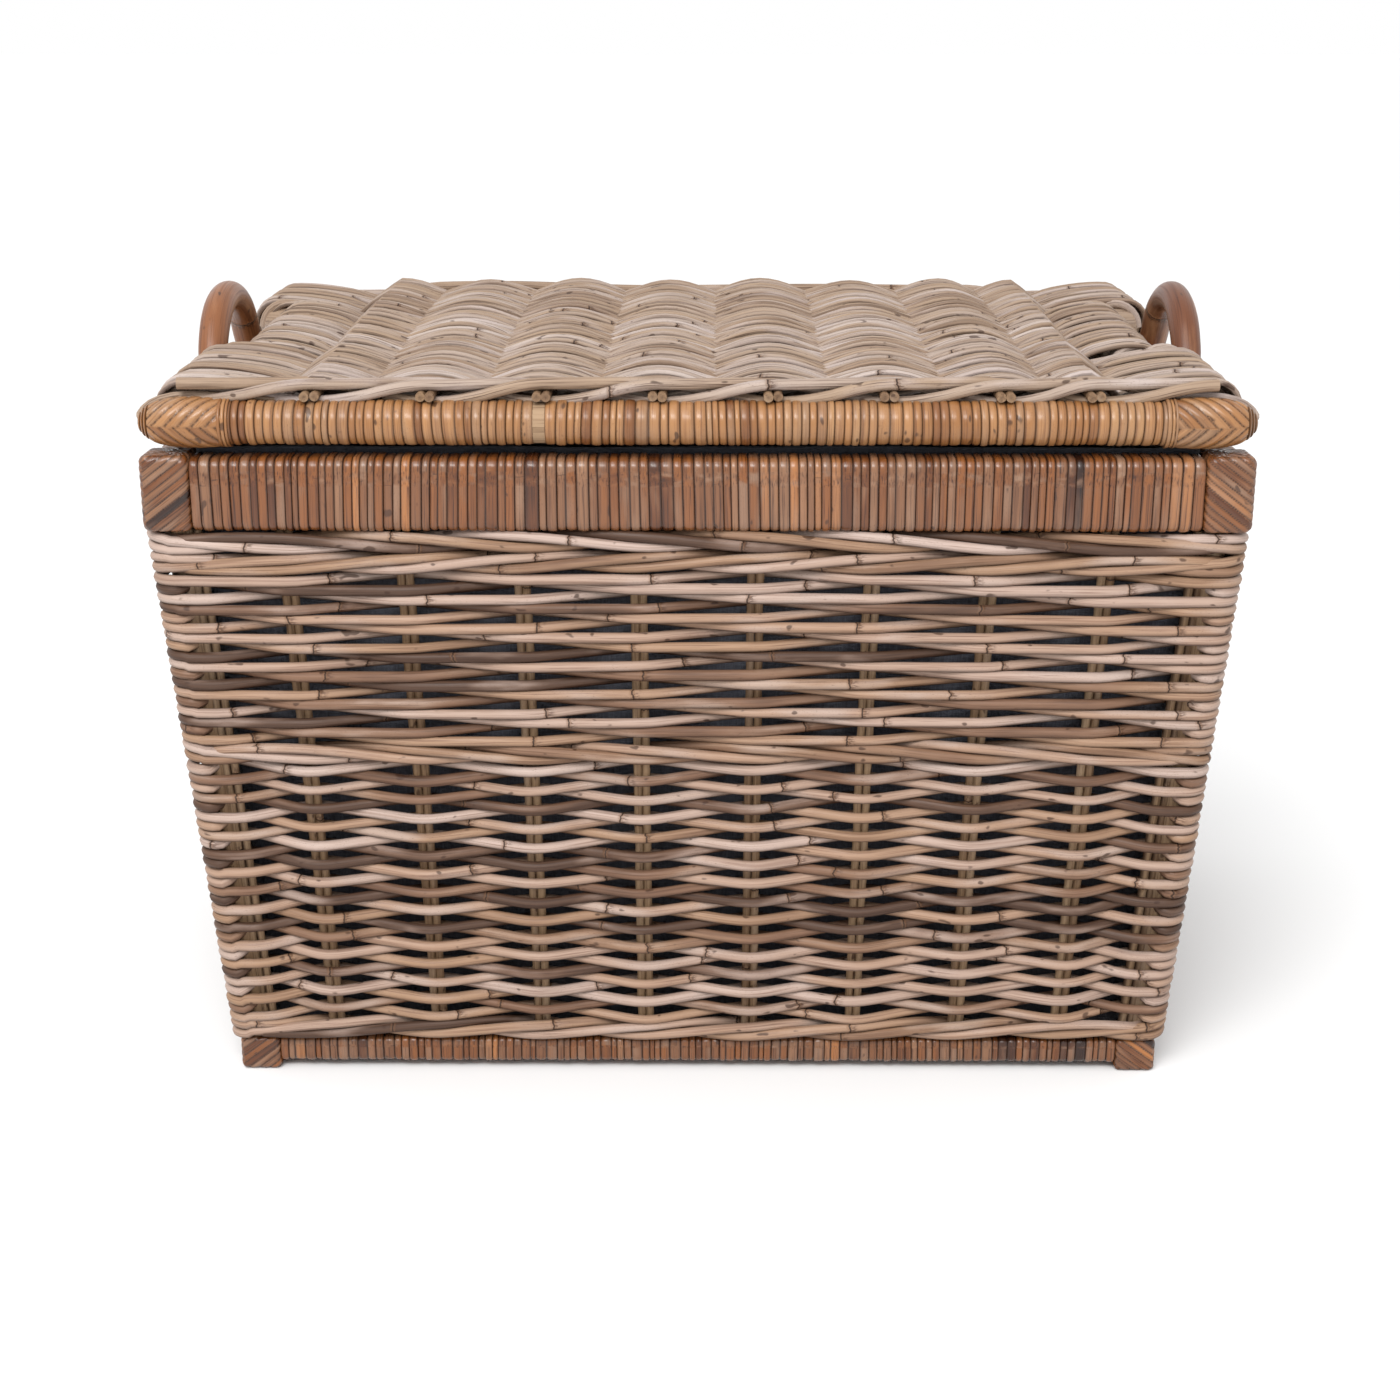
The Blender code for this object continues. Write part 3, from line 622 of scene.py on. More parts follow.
def weave_strand(skin, row, rng, sway):
    """One loop of the weave round the basket. sway is the slow wave that all of its rows share."""
    z, state, dip, strand, slope = row
    radius = STRAND * rng.uniform(0.92, 1.06)
    places, normals, ease, station = woven_loop(z, radius, state, strand is None)
    steps = np.linalg.norm(np.diff(places, axis=0), axis=1)
    length = np.concatenate([[0], np.cumsum(steps)])
    lift = -dip * ease * (1 + 0.25 * wander(rng, length, 1.0))
    if strand is not None:
        lift = slope * -WALE_HALF * np.sin(2 * math.pi * (station + strand) / 3)
    lift += 0.9 * MM * np.sin(2 * math.pi * length * sway[0] + sway[1] + z * sway[2])
    lift += wander(rng, length, 0.45 * MM, (2.0, 6.0))
    push = WALL_LEAN * lift + wander(rng, length, 0.4 * MM)
    flat = places + normals * push[:, None]
    path = np.column_stack([flat[:, 0], flat[:, 1] + MID_Y, z + lift])
    up = np.column_stack([normals, np.zeros(len(normals))])

    # Two strands make a loop, and each ends behind a stake
    hidden = np.flatnonzero(ease < -0.85)
    first = rng.choice(hidden)
    count = len(path)
    second = hidden[np.argmin(abs((hidden - first) % count - count * rng.uniform(0.35, 0.65)))]
    for start, stop in ((first, second), (second, first)):
        picked = np.arange(start, start + 1 + (stop - start) % count) % count
        if len(picked) < 4:
            continue
        girth = radius * (1 + wander(rng, length[picked], 0.06, (1.0, 4.0)))
        seed = max(0.0, rng.random() - 0.14 * (1 - height_share(z)))
        # Painted shade on the underside and the inner face of each strand
        skin.tube(path[picked], girth, seed, up=up[picked], start=rng.uniform(0, 3),
                  shade=(-0.6, 1.0))


def make_walls():
    """The woven walls. A loop goes round all four, so the pieces are cut by height, not by wall."""
    rows = weave_rows()
    rng = rng_for("sway")
    sway = (rng.uniform(1.2, 1.8), rng.uniform(0, 6), rng.uniform(8, 14))
    walls = [f"wall_{side}" for side in ("front", "back", "left", "right")]
    for piece, group in enumerate(np.array_split(np.arange(len(rows)), WEAVE_PIECES)):
        name = f"wall_weave_{piece + 1}"
        skin, rng = Skin(), rng_for(name)
        for index in group:
            weave_strand(skin, rows[index], rng, sway)
        skin.build(name, LOOKS["weave"], "weave", "basket", walls)


def rod_pair(skin, bottom, top, across, rng, shade=(0, 0)):
    """A stake's two rods side by side between two points."""
    share = np.linspace(0, 1, 24)[:, None]
    for sign in (-1, 1):
        path = bottom + (top - bottom) * share + sign * STAKE * 0.95 * across
        path[:, 0] += wander(rng, share[:, 0], 0.4 * MM)
        path[:, 1] += wander(rng, share[:, 0], 0.3 * MM)
        skin.tube(path, STAKE * rng.uniform(0.94, 1.04), rng.random(), up=(0, 1, 0), start=rng.uniform(0, 3),
                  shade=shade)


def make_stakes():
    """The front's stake pairs, those of the other sides and by the corners, and the corner posts."""
    for k in range(8):
        node = f"stake_pair_{k + 1}"
        skin = Skin()
        rod_pair(skin, middle_of(node, False), middle_of(node, True), np.array((1, 0, 0)), rng_for(node))
        skin.build(f"{node}_rods", LOOKS["core"], "core", "basket", [node])
    for side, name in ((1, "right"), (2, "back"), (3, "left")):
        skin, rng = Skin(), rng_for(name)
        ends = []
        for z in (WALL_LOW_Z, WALL_HIGH_Z):
            along, out, _, distance = side_frames(z, WALL_THICK / 2)[side]
            flat = [u * along + distance * out for u in stake_places(side, z)]
            ends.append([np.array((x, y + MID_Y, z)) for x, y in flat])
        for bottom, top in zip(*ends):
            rod_pair(skin, bottom, top, np.array((*along, 0.0)), rng)
        skin.build(f"stakes_{name}", LOOKS["core"], "core", "basket")
    skin, rng = Skin(), rng_for("corner_stakes")
    for side in range(4):
        for sign in (-1, 1):
            ends = []
            for z in (WALL_LOW_Z, WALL_HIGH_Z):
                along, out, half, distance = side_frames(z, WALL_THICK / 2)[side]
                last = stake_places(side, z)[-1]
                x, y = sign * (last + (half - last) * CORNER_STAKE) * along + distance * out
                ends.append(np.array((x, y + MID_Y, z)))
            # Painted shade: the rods by the corners are darkened nearly all round
            rod_pair(skin, ends[0], ends[1], np.array((*along, 0.0)), rng, shade=(1.6, 1.6))
    skin.build("stakes_by_corners", LOOKS["core"], "core", "basket")
    for x_name in ("left", "right"):
        for y_name in ("front", "back"):
            node = f"corner_post_{y_name}_{x_name}"
            skin, rng = Skin(), rng_for(node)
            share = np.linspace(0, 1, 16)[:, None]
            path = middle_of(node, False) + (middle_of(node, True) - middle_of(node, False)) * share
            radius = np.ptp(level_of(node, True)[:, 0]) / 2
            # Painted shade: the corner posts are darkened nearly all round
            skin.tube(path, radius * (1 + wander(rng, share[:, 0], 0.03)), rng.random(), 20, up=(0, 1, 0),
                      shade=(1.6, 1.6))
            skin.build(f"{node}_cane", LOOKS["core"], "core", "basket", [node])


# ---------------------------------------------------------------- wrapped rails


def rounded_section(half_a, half_b, radius, arc_steps=4, flat_steps=3):
    """Points and outward normals round a rounded rectangle."""
    points, normals = [], []
    for corner in range(4):
        turn = corner * math.pi / 2 + np.linspace(0, math.pi / 2, arc_steps + 1)
        sign_a = (1, -1, -1, 1)[corner]
        sign_b = (1, 1, -1, -1)[corner]
        centre = np.array((sign_a * (half_a - radius), sign_b * (half_b - radius)))
        normal = np.column_stack([np.cos(turn), np.sin(turn)])
        points.extend(centre + radius * normal)
        normals.extend(normal)
        following = (corner + 1) % 4
        next_sign = np.array(((1, -1, -1, 1)[following], (1, 1, -1, -1)[following]))
        start = points[-1]
        finish = next_sign * (np.array((half_a, half_b)) - radius) + radius * normal[-1]
        for i in range(1, flat_steps):
            points.append(start + (finish - start) * i / flat_steps)
            normals.append(normal[-1])
    return np.array(points), np.array(normals)


def arc_lengths(points):
    steps = np.linalg.norm(np.diff(points, axis=0), axis=1)
    return np.concatenate([[0], np.cumsum(steps)])


def wrapped_rail(skin, start, stop, out, up, section, pitch, rng, tilt=0.04, crown=PEEL_CROWN):
    """Strips wound side by side round a straight rail."""
    points, normals = section
    out, up = np.asarray(out, float), np.asarray(up, float)
    travel = np.cross(out, up)
    start, stop = np.asarray(start, float), np.asarray(stop, float)
    if (stop - start) @ travel < 0:
        start, stop = stop, start
    length = (stop - start) @ travel
    count = max(1, round(length / pitch))
    widths = np.clip(rng.normal(1, 0.22, count), 0.6, 1.7)
    edges = np.concatenate([[0], np.cumsum(widths)]) * length / widths.sum()
    lean = wander(rng, edges / length, tilt, (0.5, 3.0))
    round_it = arc_lengths(points)
    grid, seeds, grains, depths = [], [], [], []
    drift = 0.5 + 0.5 * np.clip(wander(rng, edges / length, 1.6, (1.0, 6.0)), -1, 1)
    for k in range(count):
        proud = rng.uniform(-0.55, 0.3) * MM
        seed = float(np.clip(0.6 * rng.random() + 0.4 * drift[k], 0, 1))
        shift = rng.uniform(0, 2)
        for share, height in WRAP_PROFILE:
            raised = crown * (height - 1) + proud
            x = edges[k] + (edges[k + 1] - edges[k]) * (0.02 + 0.96 * share)
            ends = min(1.0, x / pitch, (length - x) / pitch)
            slope = (lean[k] + (lean[k + 1] - lean[k]) * share) * points[:, 1] * ends
            flat = points + normals * raised
            ring = start + flat[:, :1] * out + flat[:, 1:] * up + (x + slope)[:, None] * travel
            grid.append(ring)
            seeds.append(seed)
            # Painted shade along the edges of each strip, where it meets its neighbours
            depths.append([1 - height])
            grains.append(np.column_stack([
                np.full(len(points), x), np.full(len(points), shift), round_it + shift
            ]))
    skin.rings(np.array(grid), np.array(seeds), np.array(grains), np.array(depths))


def braid_relief(across, along, sides, strip, table):
    """Slanting strips that meet along spines: their crown height, tone and place across the strip."""
    q = (along + across) / strip + 0.5 * sides
    number = np.floor(q).astype(int)
    share = q - number
    height = 1 - np.abs(2 * share - 1) ** 4
    return height, table[(number * 2 + sides) % len(table)], share


def braided_block(skin, centre, half, corner, rng, radius, slope=0.75):
    """A square block clad in strips that fall from its outer edge, its top closed by rings that shrink."""
    steps = int(2 * half[0] / BRAID_STEP)
    points, normals = rounded_section(half[0], half[1], radius, 6, steps)
    round_it = arc_lengths(points)
    total = round_it[-1] + np.linalg.norm(points[0] - points[-1])
    edge = round_it[np.argmax(points @ np.array(corner, float))]
    away = (round_it - edge + total / 2) % total - total / 2
    sides = (away > 0).astype(int)
    table = np.clip(rng.normal(0.5, 0.25, 31), 0, 1)
    levels = np.arange(-half[2], half[2] + BRAID_STEP / 2, BRAID_STEP)
    grid, seeds, grains, depths = [], [], [], []
    for z in levels:
        over = max(0.0, abs(z) - (half[2] - radius))
        inset = radius - math.sqrt(max(0.0, radius**2 - over**2))
        height, seed, share = braid_relief(-slope * np.abs(away), z, sides, BLOCK_STRIP, table)
        flat = points + normals * ((height - 1) * 1.3 * MM + 0.5 * MM - inset)[:, None]
        grid.append(np.column_stack([centre[0] + flat[:, 0], centre[1] + flat[:, 1],
                                     np.full(len(points), centre[2] + z)]))
        seeds.append(seed)
        # Painted shade in the grooves between strips
        depths.append(1 - height)
        grains.append(np.column_stack([share * BRAID_STRIP, seed, np.abs(away) + z * slope]))
    outline = flat
    for shrink in np.linspace(0.94, 0.06, 12):
        inward = half[0] * (1 - shrink)
        height, seed, share = braid_relief(-slope * np.abs(away), z + inward, sides, BLOCK_STRIP, table)
        level = centre[2] + z + (height - 1) * 1.1 * MM
        grid.append(np.column_stack([centre[:2] + outline * shrink, level]))
        seeds.append(seed)
        # Painted shade in the grooves between strips
        depths.append(1 - height)
        grains.append(np.column_stack([share * BRAID_STRIP, seed, np.abs(away) + inward]))
    skin.rings(np.array(grid), np.array(seeds), np.array(grains), np.array(depths))


CORNERS = [(sx, sy, x_name, y_name) for sx, x_name in ((-1, "left"), (1, "right"))
           for sy, y_name in ((-1, "front"), (1, "back"))]
RAIL_SIDES = {"front": (0, -1), "back": (0, 1), "left": (-1, 0), "right": (1, 0)}


def make_wrapped_frame(prefix, corner_prefix, pitch, rounding, sunk):
    """The four rails of the rim or the base, and their corner blocks that stand proud of them by sunk."""
    for side, (ox, oy) in RAIL_SIDES.items():
        node = f"{prefix}_{side}"
        skin, rng = Skin(), rng_for(node)
        centre, half = centre_of(node), half_of(node)
        along = np.array((abs(oy), abs(ox), 0.0))
        reach = (half[0] if oy else half[1]) * along
        thick = half[1] if oy else half[0]
        section = rounded_section(thick + 0.3 * MM, half[2] - sunk, rounding)
        centre[2] -= sunk
        wrapped_rail(skin, centre - reach, centre + reach, (ox, oy, 0), (0, 0, 1), section, pitch, rng)
        skin.build(f"{node}_wrap", LOOKS["peel"], "peel", "basket", [node])
    for sx, sy, x_name, y_name in CORNERS:
        node = f"{corner_prefix}_{y_name}_{x_name}"
        skin = Skin()
        braided_block(skin, centre_of(node), half_of(node), (sx, sy), rng_for(node), rounding * 0.75)
        skin.build(f"{node}_braid", LOOKS["peel"], "peel", "basket", [node])


def make_bottom():
    """The bottom: bars from front to back in pairs, and strands woven over and under them."""
    skin, rng = Skin(), rng_for("bottom")
    low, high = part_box("base_panel")
    z = (low.z + high.z) / 2
    bars = stake_places(0, WALL_LOW_Z)
    for x in bars:
        for sign in (-1, 1):
            y = np.linspace(low.y, high.y, 12)
            path = np.column_stack([np.full(12, x + sign * STAKE), y, np.full(12, z)])
            skin.tube(path, STAKE, rng.random(), 8, up=(0, 0, 1))
    count = int((high.y - low.y) / (2 * STRAND + 0.3 * MM))
    x = np.linspace(low.x, high.x, 9 * 9)
    for row in range(count):
        y = low.y + (row + 0.5) * (high.y - low.y) / count
        ease = np.sin(math.pi / 2 * np.interp(x, bars, [(-1.0) ** (row + k) for k in range(len(bars))]))
        height = z + ease * (STAKE + STRAND) * 0.93
        path = np.column_stack([x, y + wander(rng, x, 0.5 * MM), height])
        skin.tube(path, STRAND, rng.random(), 8, start=rng.uniform(0, 3))
    skin.build("bottom_weave", LOOKS["weave"], "weave", "basket", ["base_panel"])


# ---------------------------------------------------------------- handles


def make_handles():
    """Two canes, each bent to an arch that leans outwards, with its legs down inside the rim."""
    for side_x, side in ((-1, "left"), (1, "right")):
        node = f"handle_{side}"
        centre, half = centre_of(node), half_of(node)
        low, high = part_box(node)
        radius = half[0]
        span = half[1] - radius
        spring = high.z - radius - HANDLE_RISE - 2.5 * MM
        turn = np.linspace(math.pi, 0, 41)
        arch = np.column_stack([span * np.cos(turn), spring + HANDLE_RISE * np.sin(turn)])
        leg_z = np.linspace(low.z, spring, 10, endpoint=False)
        near = np.column_stack([np.full(10, -span), leg_z])
        far = np.column_stack([np.full(10, span), leg_z[::-1]])
        route = np.concatenate([near, arch, far])
        rng = rng_for(node)
        length = arc_lengths(route)
        wave = wander(rng, length, 0.9 * MM, (6.0, 16.0))
        lean = side_x * HANDLE_LEAN * smoothstep((route[:, 1] - low.z - 0.04) / 0.04)
        path = np.column_stack([centre[0] + lean + wave * 0.5, centre[1] + route[:, 0], route[:, 1]])
        girth = radius * (1.06 + wander(rng, length, 0.035, (8.0, 24.0)))
        skin = Skin()
        skin.tube(path, girth, rng.random(), 28, up=(1, 0, 0), start=rng.uniform(0, 1))
        skin.build(f"{node}_cane", LOOKS["cane"], "cane", "basket", [node])
        for end in ("front", "back"):
            make_binding(f"handle_binding_{side}_{end}")


def make_binding(node):
    """Peel wound round the foot of a handle."""
    skin, rng = Skin(), rng_for(node)
    low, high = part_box(node)
    centre, half = centre_of(node), half_of(node)
    turn = np.linspace(0, 2 * math.pi, 28, endpoint=False)
    normals = np.column_stack([np.cos(turn), np.sin(turn)])
    section = (normals * (half[0] - 0.2 * MM), normals)
    wrapped_rail(skin, (centre[0], centre[1], low.z), (centre[0], centre[1], high.z),
                 (1, 0, 0), (0, 1, 0), section, BINDING_PITCH, rng, tilt=0.15, crown=0.7 * MM)
    skin.build(f"{node}_wrap", LOOKS["peel"], "peel", "basket", [node])


# ---------------------------------------------------------------- lid


BAR_X = [centre_of(f"lid_bar_{k + 1}")[0] for k in range(8)]
BAR_Z = centre_of("lid_bar_1")[2]
BAR_RADIUS = half_of("lid_bar_1")[2]
SIDE_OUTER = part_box("lid_side_right")[1].x
SIDE_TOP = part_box("lid_side_right")[1].z
POLE_Z = SIDE_TOP + 1.6 * MM - POLE_DROP
NOTCH_DEPTH = 25.0 * MM
NOTCH_Y = (MID_Y - 0.086, MID_Y + 0.100)
NOTCH_BLEND = 9.0 * MM


def pole_x(y):
    """Distance of the side pole's axis from the middle, less where the notch clears a handle."""
    begun = smoothstep((y - NOTCH_Y[0]) / NOTCH_BLEND + 0.5)
    inside = begun * smoothstep((NOTCH_Y[1] - y) / NOTCH_BLEND + 0.5)
    return SIDE_OUTER - POLE_RADIUS - 2.0 * MM - NOTCH_DEPTH * inside


def lid_rise(y):
    """How much higher the lid's weave lies than flat on its rails: it swells from front to back and comes
    down again on the back rail."""
    y = np.asarray(y) - MID_Y
    return -1.5 * MM + LID_TILT * smoothstep((y + 0.24) / 0.36) * (1 - smoothstep((y - 0.208) / 0.026))


def border_half(y, over, side):
    """The stretch of a lid strand from its last bar round the side pole: places across, heights and how
    far over or under it lies."""
    last = BAR_X[-1] if side > 0 else -BAR_X[0]
    pole = float(pole_x(y))
    reach = POLE_RADIUS + LID_STRAND_THICK + (0 if over else 2 * LID_STRAND_THICK)
    share = np.linspace(0, 1, 11)[1:]
    rise = np.sin(math.pi / 2 * share**1.2)
    sign = 1 if over else -1
    start_z = BAR_Z - sign * LID_WAVE
    x = last + (pole - POLE_MARGIN - last) * share
    z = start_z + (POLE_Z + sign * reach - start_z) * rise
    turn = np.radians(np.linspace(80, -95, 12) if over else np.linspace(-90, -60, 5))
    x = np.concatenate([x, pole + reach * np.cos(turn)])
    z = np.concatenate([z, POLE_Z + reach * np.sin(turn)])
    ease = np.concatenate([sign * np.clip(rise / 0.27 - 1, -1, 1), np.full(len(turn), sign)])
    return x, z, ease


def between(stops):
    """Ten steps to each stretch between stops, and the last stop."""
    stretches = [np.linspace(a, b, 10, endpoint=False) for a, b in zip(stops, stops[1:])]
    return np.concatenate([*stretches, [stops[-1]]])


def lid_strand(skin, y_row, row, rng):
    """One strand of the lid, over and under the bars in turn and round the side poles. It lies flat over
    a bar, and stands narrow where it passes between its neighbours. Each band of strands is crowned, and
    the bands of one column lie half a band further on than those of the last."""
    states = np.array([(-1.0) ** (row + k) for k in range(len(BAR_X))])
    x = between(BAR_X)
    ease = np.sin(math.pi / 2 * np.interp(x, BAR_X, states))
    left = border_half(y_row, states[0] < 0, -1)
    right = border_half(y_row, states[-1] < 0, 1)
    z = np.concatenate([left[1][::-1], BAR_Z + LID_WAVE * ease, right[1]])
    x = np.concatenate([-left[0][::-1], x, right[0]])
    ease = np.concatenate([left[2][::-1], ease, right[2]])
    y = y_row + wander(rng, x, 0.9 * MM, (2, 7))
    beyond = CROSSING * (float(pole_x(y_row)) - POLE_MARGIN - BAR_X[-1])
    stations = [BAR_X[0] - beyond, *BAR_X, BAR_X[-1] + beyond]
    column = np.round(np.interp(x, stations, np.arange(len(stations))))
    place = (row / LID_BAND + 0.5 * column) % 1
    crown = LID_CROWN * (1 - (2 * place - 1) ** 2) * np.clip(ease, 0, 1)
    path = np.column_stack([x, y, z + crown + lid_rise(y) + wander(rng, x, 0.35 * MM, (3, 9))])
    travel = unit(np.gradient(path, axis=0))
    up = -np.cross(travel, np.array((0.0, 1.0, 0.0)))
    flatness = np.clip(np.abs(ease) / 0.45, 0, 1)
    girth = LID_STRAND_WIDTH * rng.uniform(0.93, 1.1) * (0.56 + 0.44 * flatness)
    thick = LID_STRAND_THICK * (1.35 - 0.35 * flatness)
    # Painted shade along both edges of each strand, darkest for the outer strands of a band
    skin.tube(path, girth, float(np.clip(rng.normal(0.55, 0.27), 0, 1)), 10, flat=(thick / girth)[:, None],
              up=up, start=rng.uniform(0, 3), edge=0.55 + 0.6 * np.abs(2 * place - 1)[:, None] ** 2)


def make_lid_panel():
    """The lid's weave with its side borders, in a front and a back half."""
    reach = LID_WEAVE_HALF
    pitch = 2 * reach / LID_ROWS
    halves = (("front", range(LID_ROWS // 2)), ("back", range(LID_ROWS // 2, LID_ROWS)))
    for name, rows in halves:
        skin, rng = Skin(), rng_for(f"lid_{name}")
        for row in rows:
            lid_strand(skin, MID_Y - reach + (row + 0.5) * pitch, row, rng)
        skin.build(f"lid_weave_{name}", LOOKS["lid"], "weave", "lid",
                   ["lid_panel", "lid_side_left", "lid_side_right"])


def make_lid_edges():
    """Three long round strands laid over and under the bars' ends, front and back, and two more that
    close the back."""
    for side_y, name in ((-1, "front"), (1, "back")):
        skin, rng = Skin(), rng_for(f"lid_edge_{name}")
        border = pole_x(MID_Y + BORDER_PLACE)
        stops = [-border, *BAR_X, border]
        x = between(stops)
        station = np.interp(x, stops, np.arange(len(stops)))
        for strand in range(3):
            states = [1.0 if (k + strand) % 3 else -1.0 for k in range(len(stops))]
            ease = np.sin(math.pi / 2 * np.interp(x, stops, states))
            radius = STRAND * rng.uniform(0.98, 1.1)
            z = BAR_Z + ease * (BAR_RADIUS + radius) * np.where(ease < 0, 0.75, 1.0)
            sweep = np.sin(2 * math.pi * (station + strand) / 3)
            y = MID_Y + side_y * EDGE_PLACE - EDGE_SWEEP * sweep
            path = np.column_stack([x, y, z - 1.5 * MM + wander(rng, x, 0.5 * MM)])
            skin.tube(path, radius, rng.uniform(0.4, 1.0), 12, start=rng.uniform(0, 3))
        if name == "back":
            close_back(skin, rng)
        skin.build(f"lid_edge_{name}", LOOKS["lid"], "weave", "lid")


def close_back(skin, rng):
    """Two strands laid along the back of the weave, which thin out and dip at their ends."""
    for strand in range(2):
        x = np.linspace(-0.25 - 0.01 * strand, BACK_REACH - 0.02 * strand, 70)
        y = MID_Y + 0.214 + strand * 5.0 * MM + wander(rng, x, 2.0 * MM)
        z = BAR_Z + lid_rise(MID_Y + BORDER_PLACE) + (3.0 - 5.0 * strand) * MM
        z = z + wander(rng, x, 2.5 * MM, (2.0, 6.0))
        full = smoothstep((BACK_REACH - np.abs(x)) / 0.05)
        path = np.column_stack([x, y, z - 5.0 * MM * (1 - full)])
        skin.tube(path, (2.6 + 1.4 * full) * MM, rng.uniform(0.1, 0.5), 12, start=rng.uniform(0, 3))


def make_lid_poles():
    """The pole inside each side border, and three loops of strand at each end of its notch."""
    for side_x, name in ((-1, "left"), (1, "right")):
        skin, rng = Skin(), rng_for(f"lid_pole_{name}")
        y = np.linspace(MID_Y - POLE_HALF, MID_Y + POLE_HALF, 90)
        skin.tube(np.column_stack([side_x * pole_x(y), y, POLE_Z + lid_rise(y)]), POLE_RADIUS, 0.5, 20)
        for end, inward in ((NOTCH_Y[0], 1), (NOTCH_Y[1], -1)):
            for loop in range(3):
                place = end + inward * (loop * 6.0 - 1.0) * MM
                turn = np.linspace(0, 2 * math.pi, 24, endpoint=False)
                lean = 0.5 * inward
                ring = POLE_RADIUS + STRAND * 0.9
                path = np.column_stack([
                    side_x * (float(pole_x(place)) + ring * np.cos(turn)),
                    place + lean * ring * np.cos(turn) * 0.35,
                    POLE_Z + float(lid_rise(place)) + ring * np.sin(turn),
                ])
                skin.tube(path, STRAND * 0.95, rng.uniform(0.3, 0.9), 10, up=(0, 1, 0))
        skin.build(f"lid_pole_{name}", LOOKS["lid"], "weave", "lid")


def make_cap_strands():
    """At each corner of the lid two strands of the border run out over the cap and down round its tip."""
    for side_x in (-1, 1):
        for side_y, name in ((-1, "front"), (1, "back")):
            node = f"lid_rail_{name}"
            centre, tip = centre_of(node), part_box(node)[1].x
            label = "left" if side_x < 0 else "right"
            skin, rng = Skin(), rng_for(f"cap_strands_{name}_{label}")
            for strand in range(2):
                from_tip = np.array([0.085, 0.072, *(stop[0] for stop in CAP_STOPS), 0.0005, 0.002])
                around = np.array([13.5, 14.2, *(stop[1] for stop in CAP_STOPS), 1.0, -2.5]) * MM + 1.6 * MM
                fine = np.linspace(0, len(from_tip) - 1, 44)
                from_tip = np.interp(fine, np.arange(len(from_tip)), from_tip)
                around = np.interp(fine, np.arange(len(around)), around)
                lean = math.radians(24 + 26 * strand)
                path = np.column_stack([
                    side_x * (tip - from_tip - 1.0 * MM * (1 + strand)),
                    centre[1] - side_y * np.maximum(around, 3.0 * MM) * math.sin(lean),
                    centre[2] + around * math.cos(lean),
                ])
                girth = 2.9 * MM * np.interp(fine, (0, 36, 43), (1.0, 1.0, 0.75))
                skin.tube(path, girth, rng.uniform(0.4, 0.8), 10, flat=0.75, start=rng.uniform(0, 3))
            skin.build(f"cap_strands_{name}_{label}", LOOKS["lid"], "weave", "lid")


def make_lid_bars():
    """Each cross bar is two rods side by side, which follow the swell of the weave."""
    for k in range(8):
        node = f"lid_bar_{k + 1}"
        low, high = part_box(node)
        skin, rng = Skin(), rng_for(node)
        for sign in (-1, 1):
            y = np.linspace(low.y + rng.uniform(1, 5) * MM, high.y, 30)
            x = BAR_X[k] + sign * BAR_RADIUS * 0.95 + wander(rng, y, 0.3 * MM)
            skin.tube(np.column_stack([x, y, BAR_Z + lid_rise(y)]), BAR_RADIUS, 0.4 * rng.random(), 12,
                      start=rng.uniform(0, 3))
        skin.build(f"{node}_rods", LOOKS["core"], "core", "lid", [node])


def braided_cap(skin, tip, side_x, centre_y, centre_z, rng, sides=72):
    """The end of a lid rail: strips in chevrons that point inwards, and a curl at the tip."""
    from_tip = np.array([s[0] for s in CAP_STOPS])
    radii = np.array([s[1] for s in CAP_STOPS]) * MM
    x = np.concatenate([np.arange(CAP_LENGTH, 0.010, -0.9 * MM), np.linspace(0.010, 0.0, 14)])
    radius = np.interp(-x, -from_tip, radii)
    radius = np.convolve(np.pad(radius, 2, mode="edge"), np.ones(5) / 5, mode="valid")
    turn = np.linspace(0, 2 * math.pi, sides, endpoint=False)
    table = np.clip(rng.normal(0.42, 0.24, 37), 0, 1)
    from_front = np.abs((turn + math.pi / 2 + math.pi) % (2 * math.pi) - math.pi)
    spine = np.minimum(from_front, math.pi - from_front)
    upper = (np.sin(turn) > 0).astype(int)
    grid, seeds, grains, depths = [], [], [], []
    for d, r in zip(x, radius):
        along = CAP_LENGTH - d
        height, seed, share = braid_relief(-0.95 * spine * 15.0 * MM, along, upper, CAP_STRIP, table)
        if d < 0.007:
            share = np.full(sides, (d / (2.3 * MM)) % 1.0)
            height = 1 - np.abs(2 * share - 1) ** 4
            seed = np.full(sides, table[0])
        raised = r + (height - 1) * 1.9 * MM * min(1.0, r / (6 * MM))
        y = centre_y + raised * np.cos(turn)
        z = centre_z + raised * np.sin(turn)
        grid.append(np.column_stack([np.full(sides, side_x * (tip - d)), y, z]))
        seeds.append(seed)
        # Painted shade in the grooves between strips
        depths.append(1 - height)
        grains.append(np.column_stack([share * BRAID_STRIP, seed, spine * 15 * MM + along]))
    order = slice(None, None, int(side_x))
    skin.rings(*(np.array(part)[order] for part in (grid, seeds, grains, depths)))


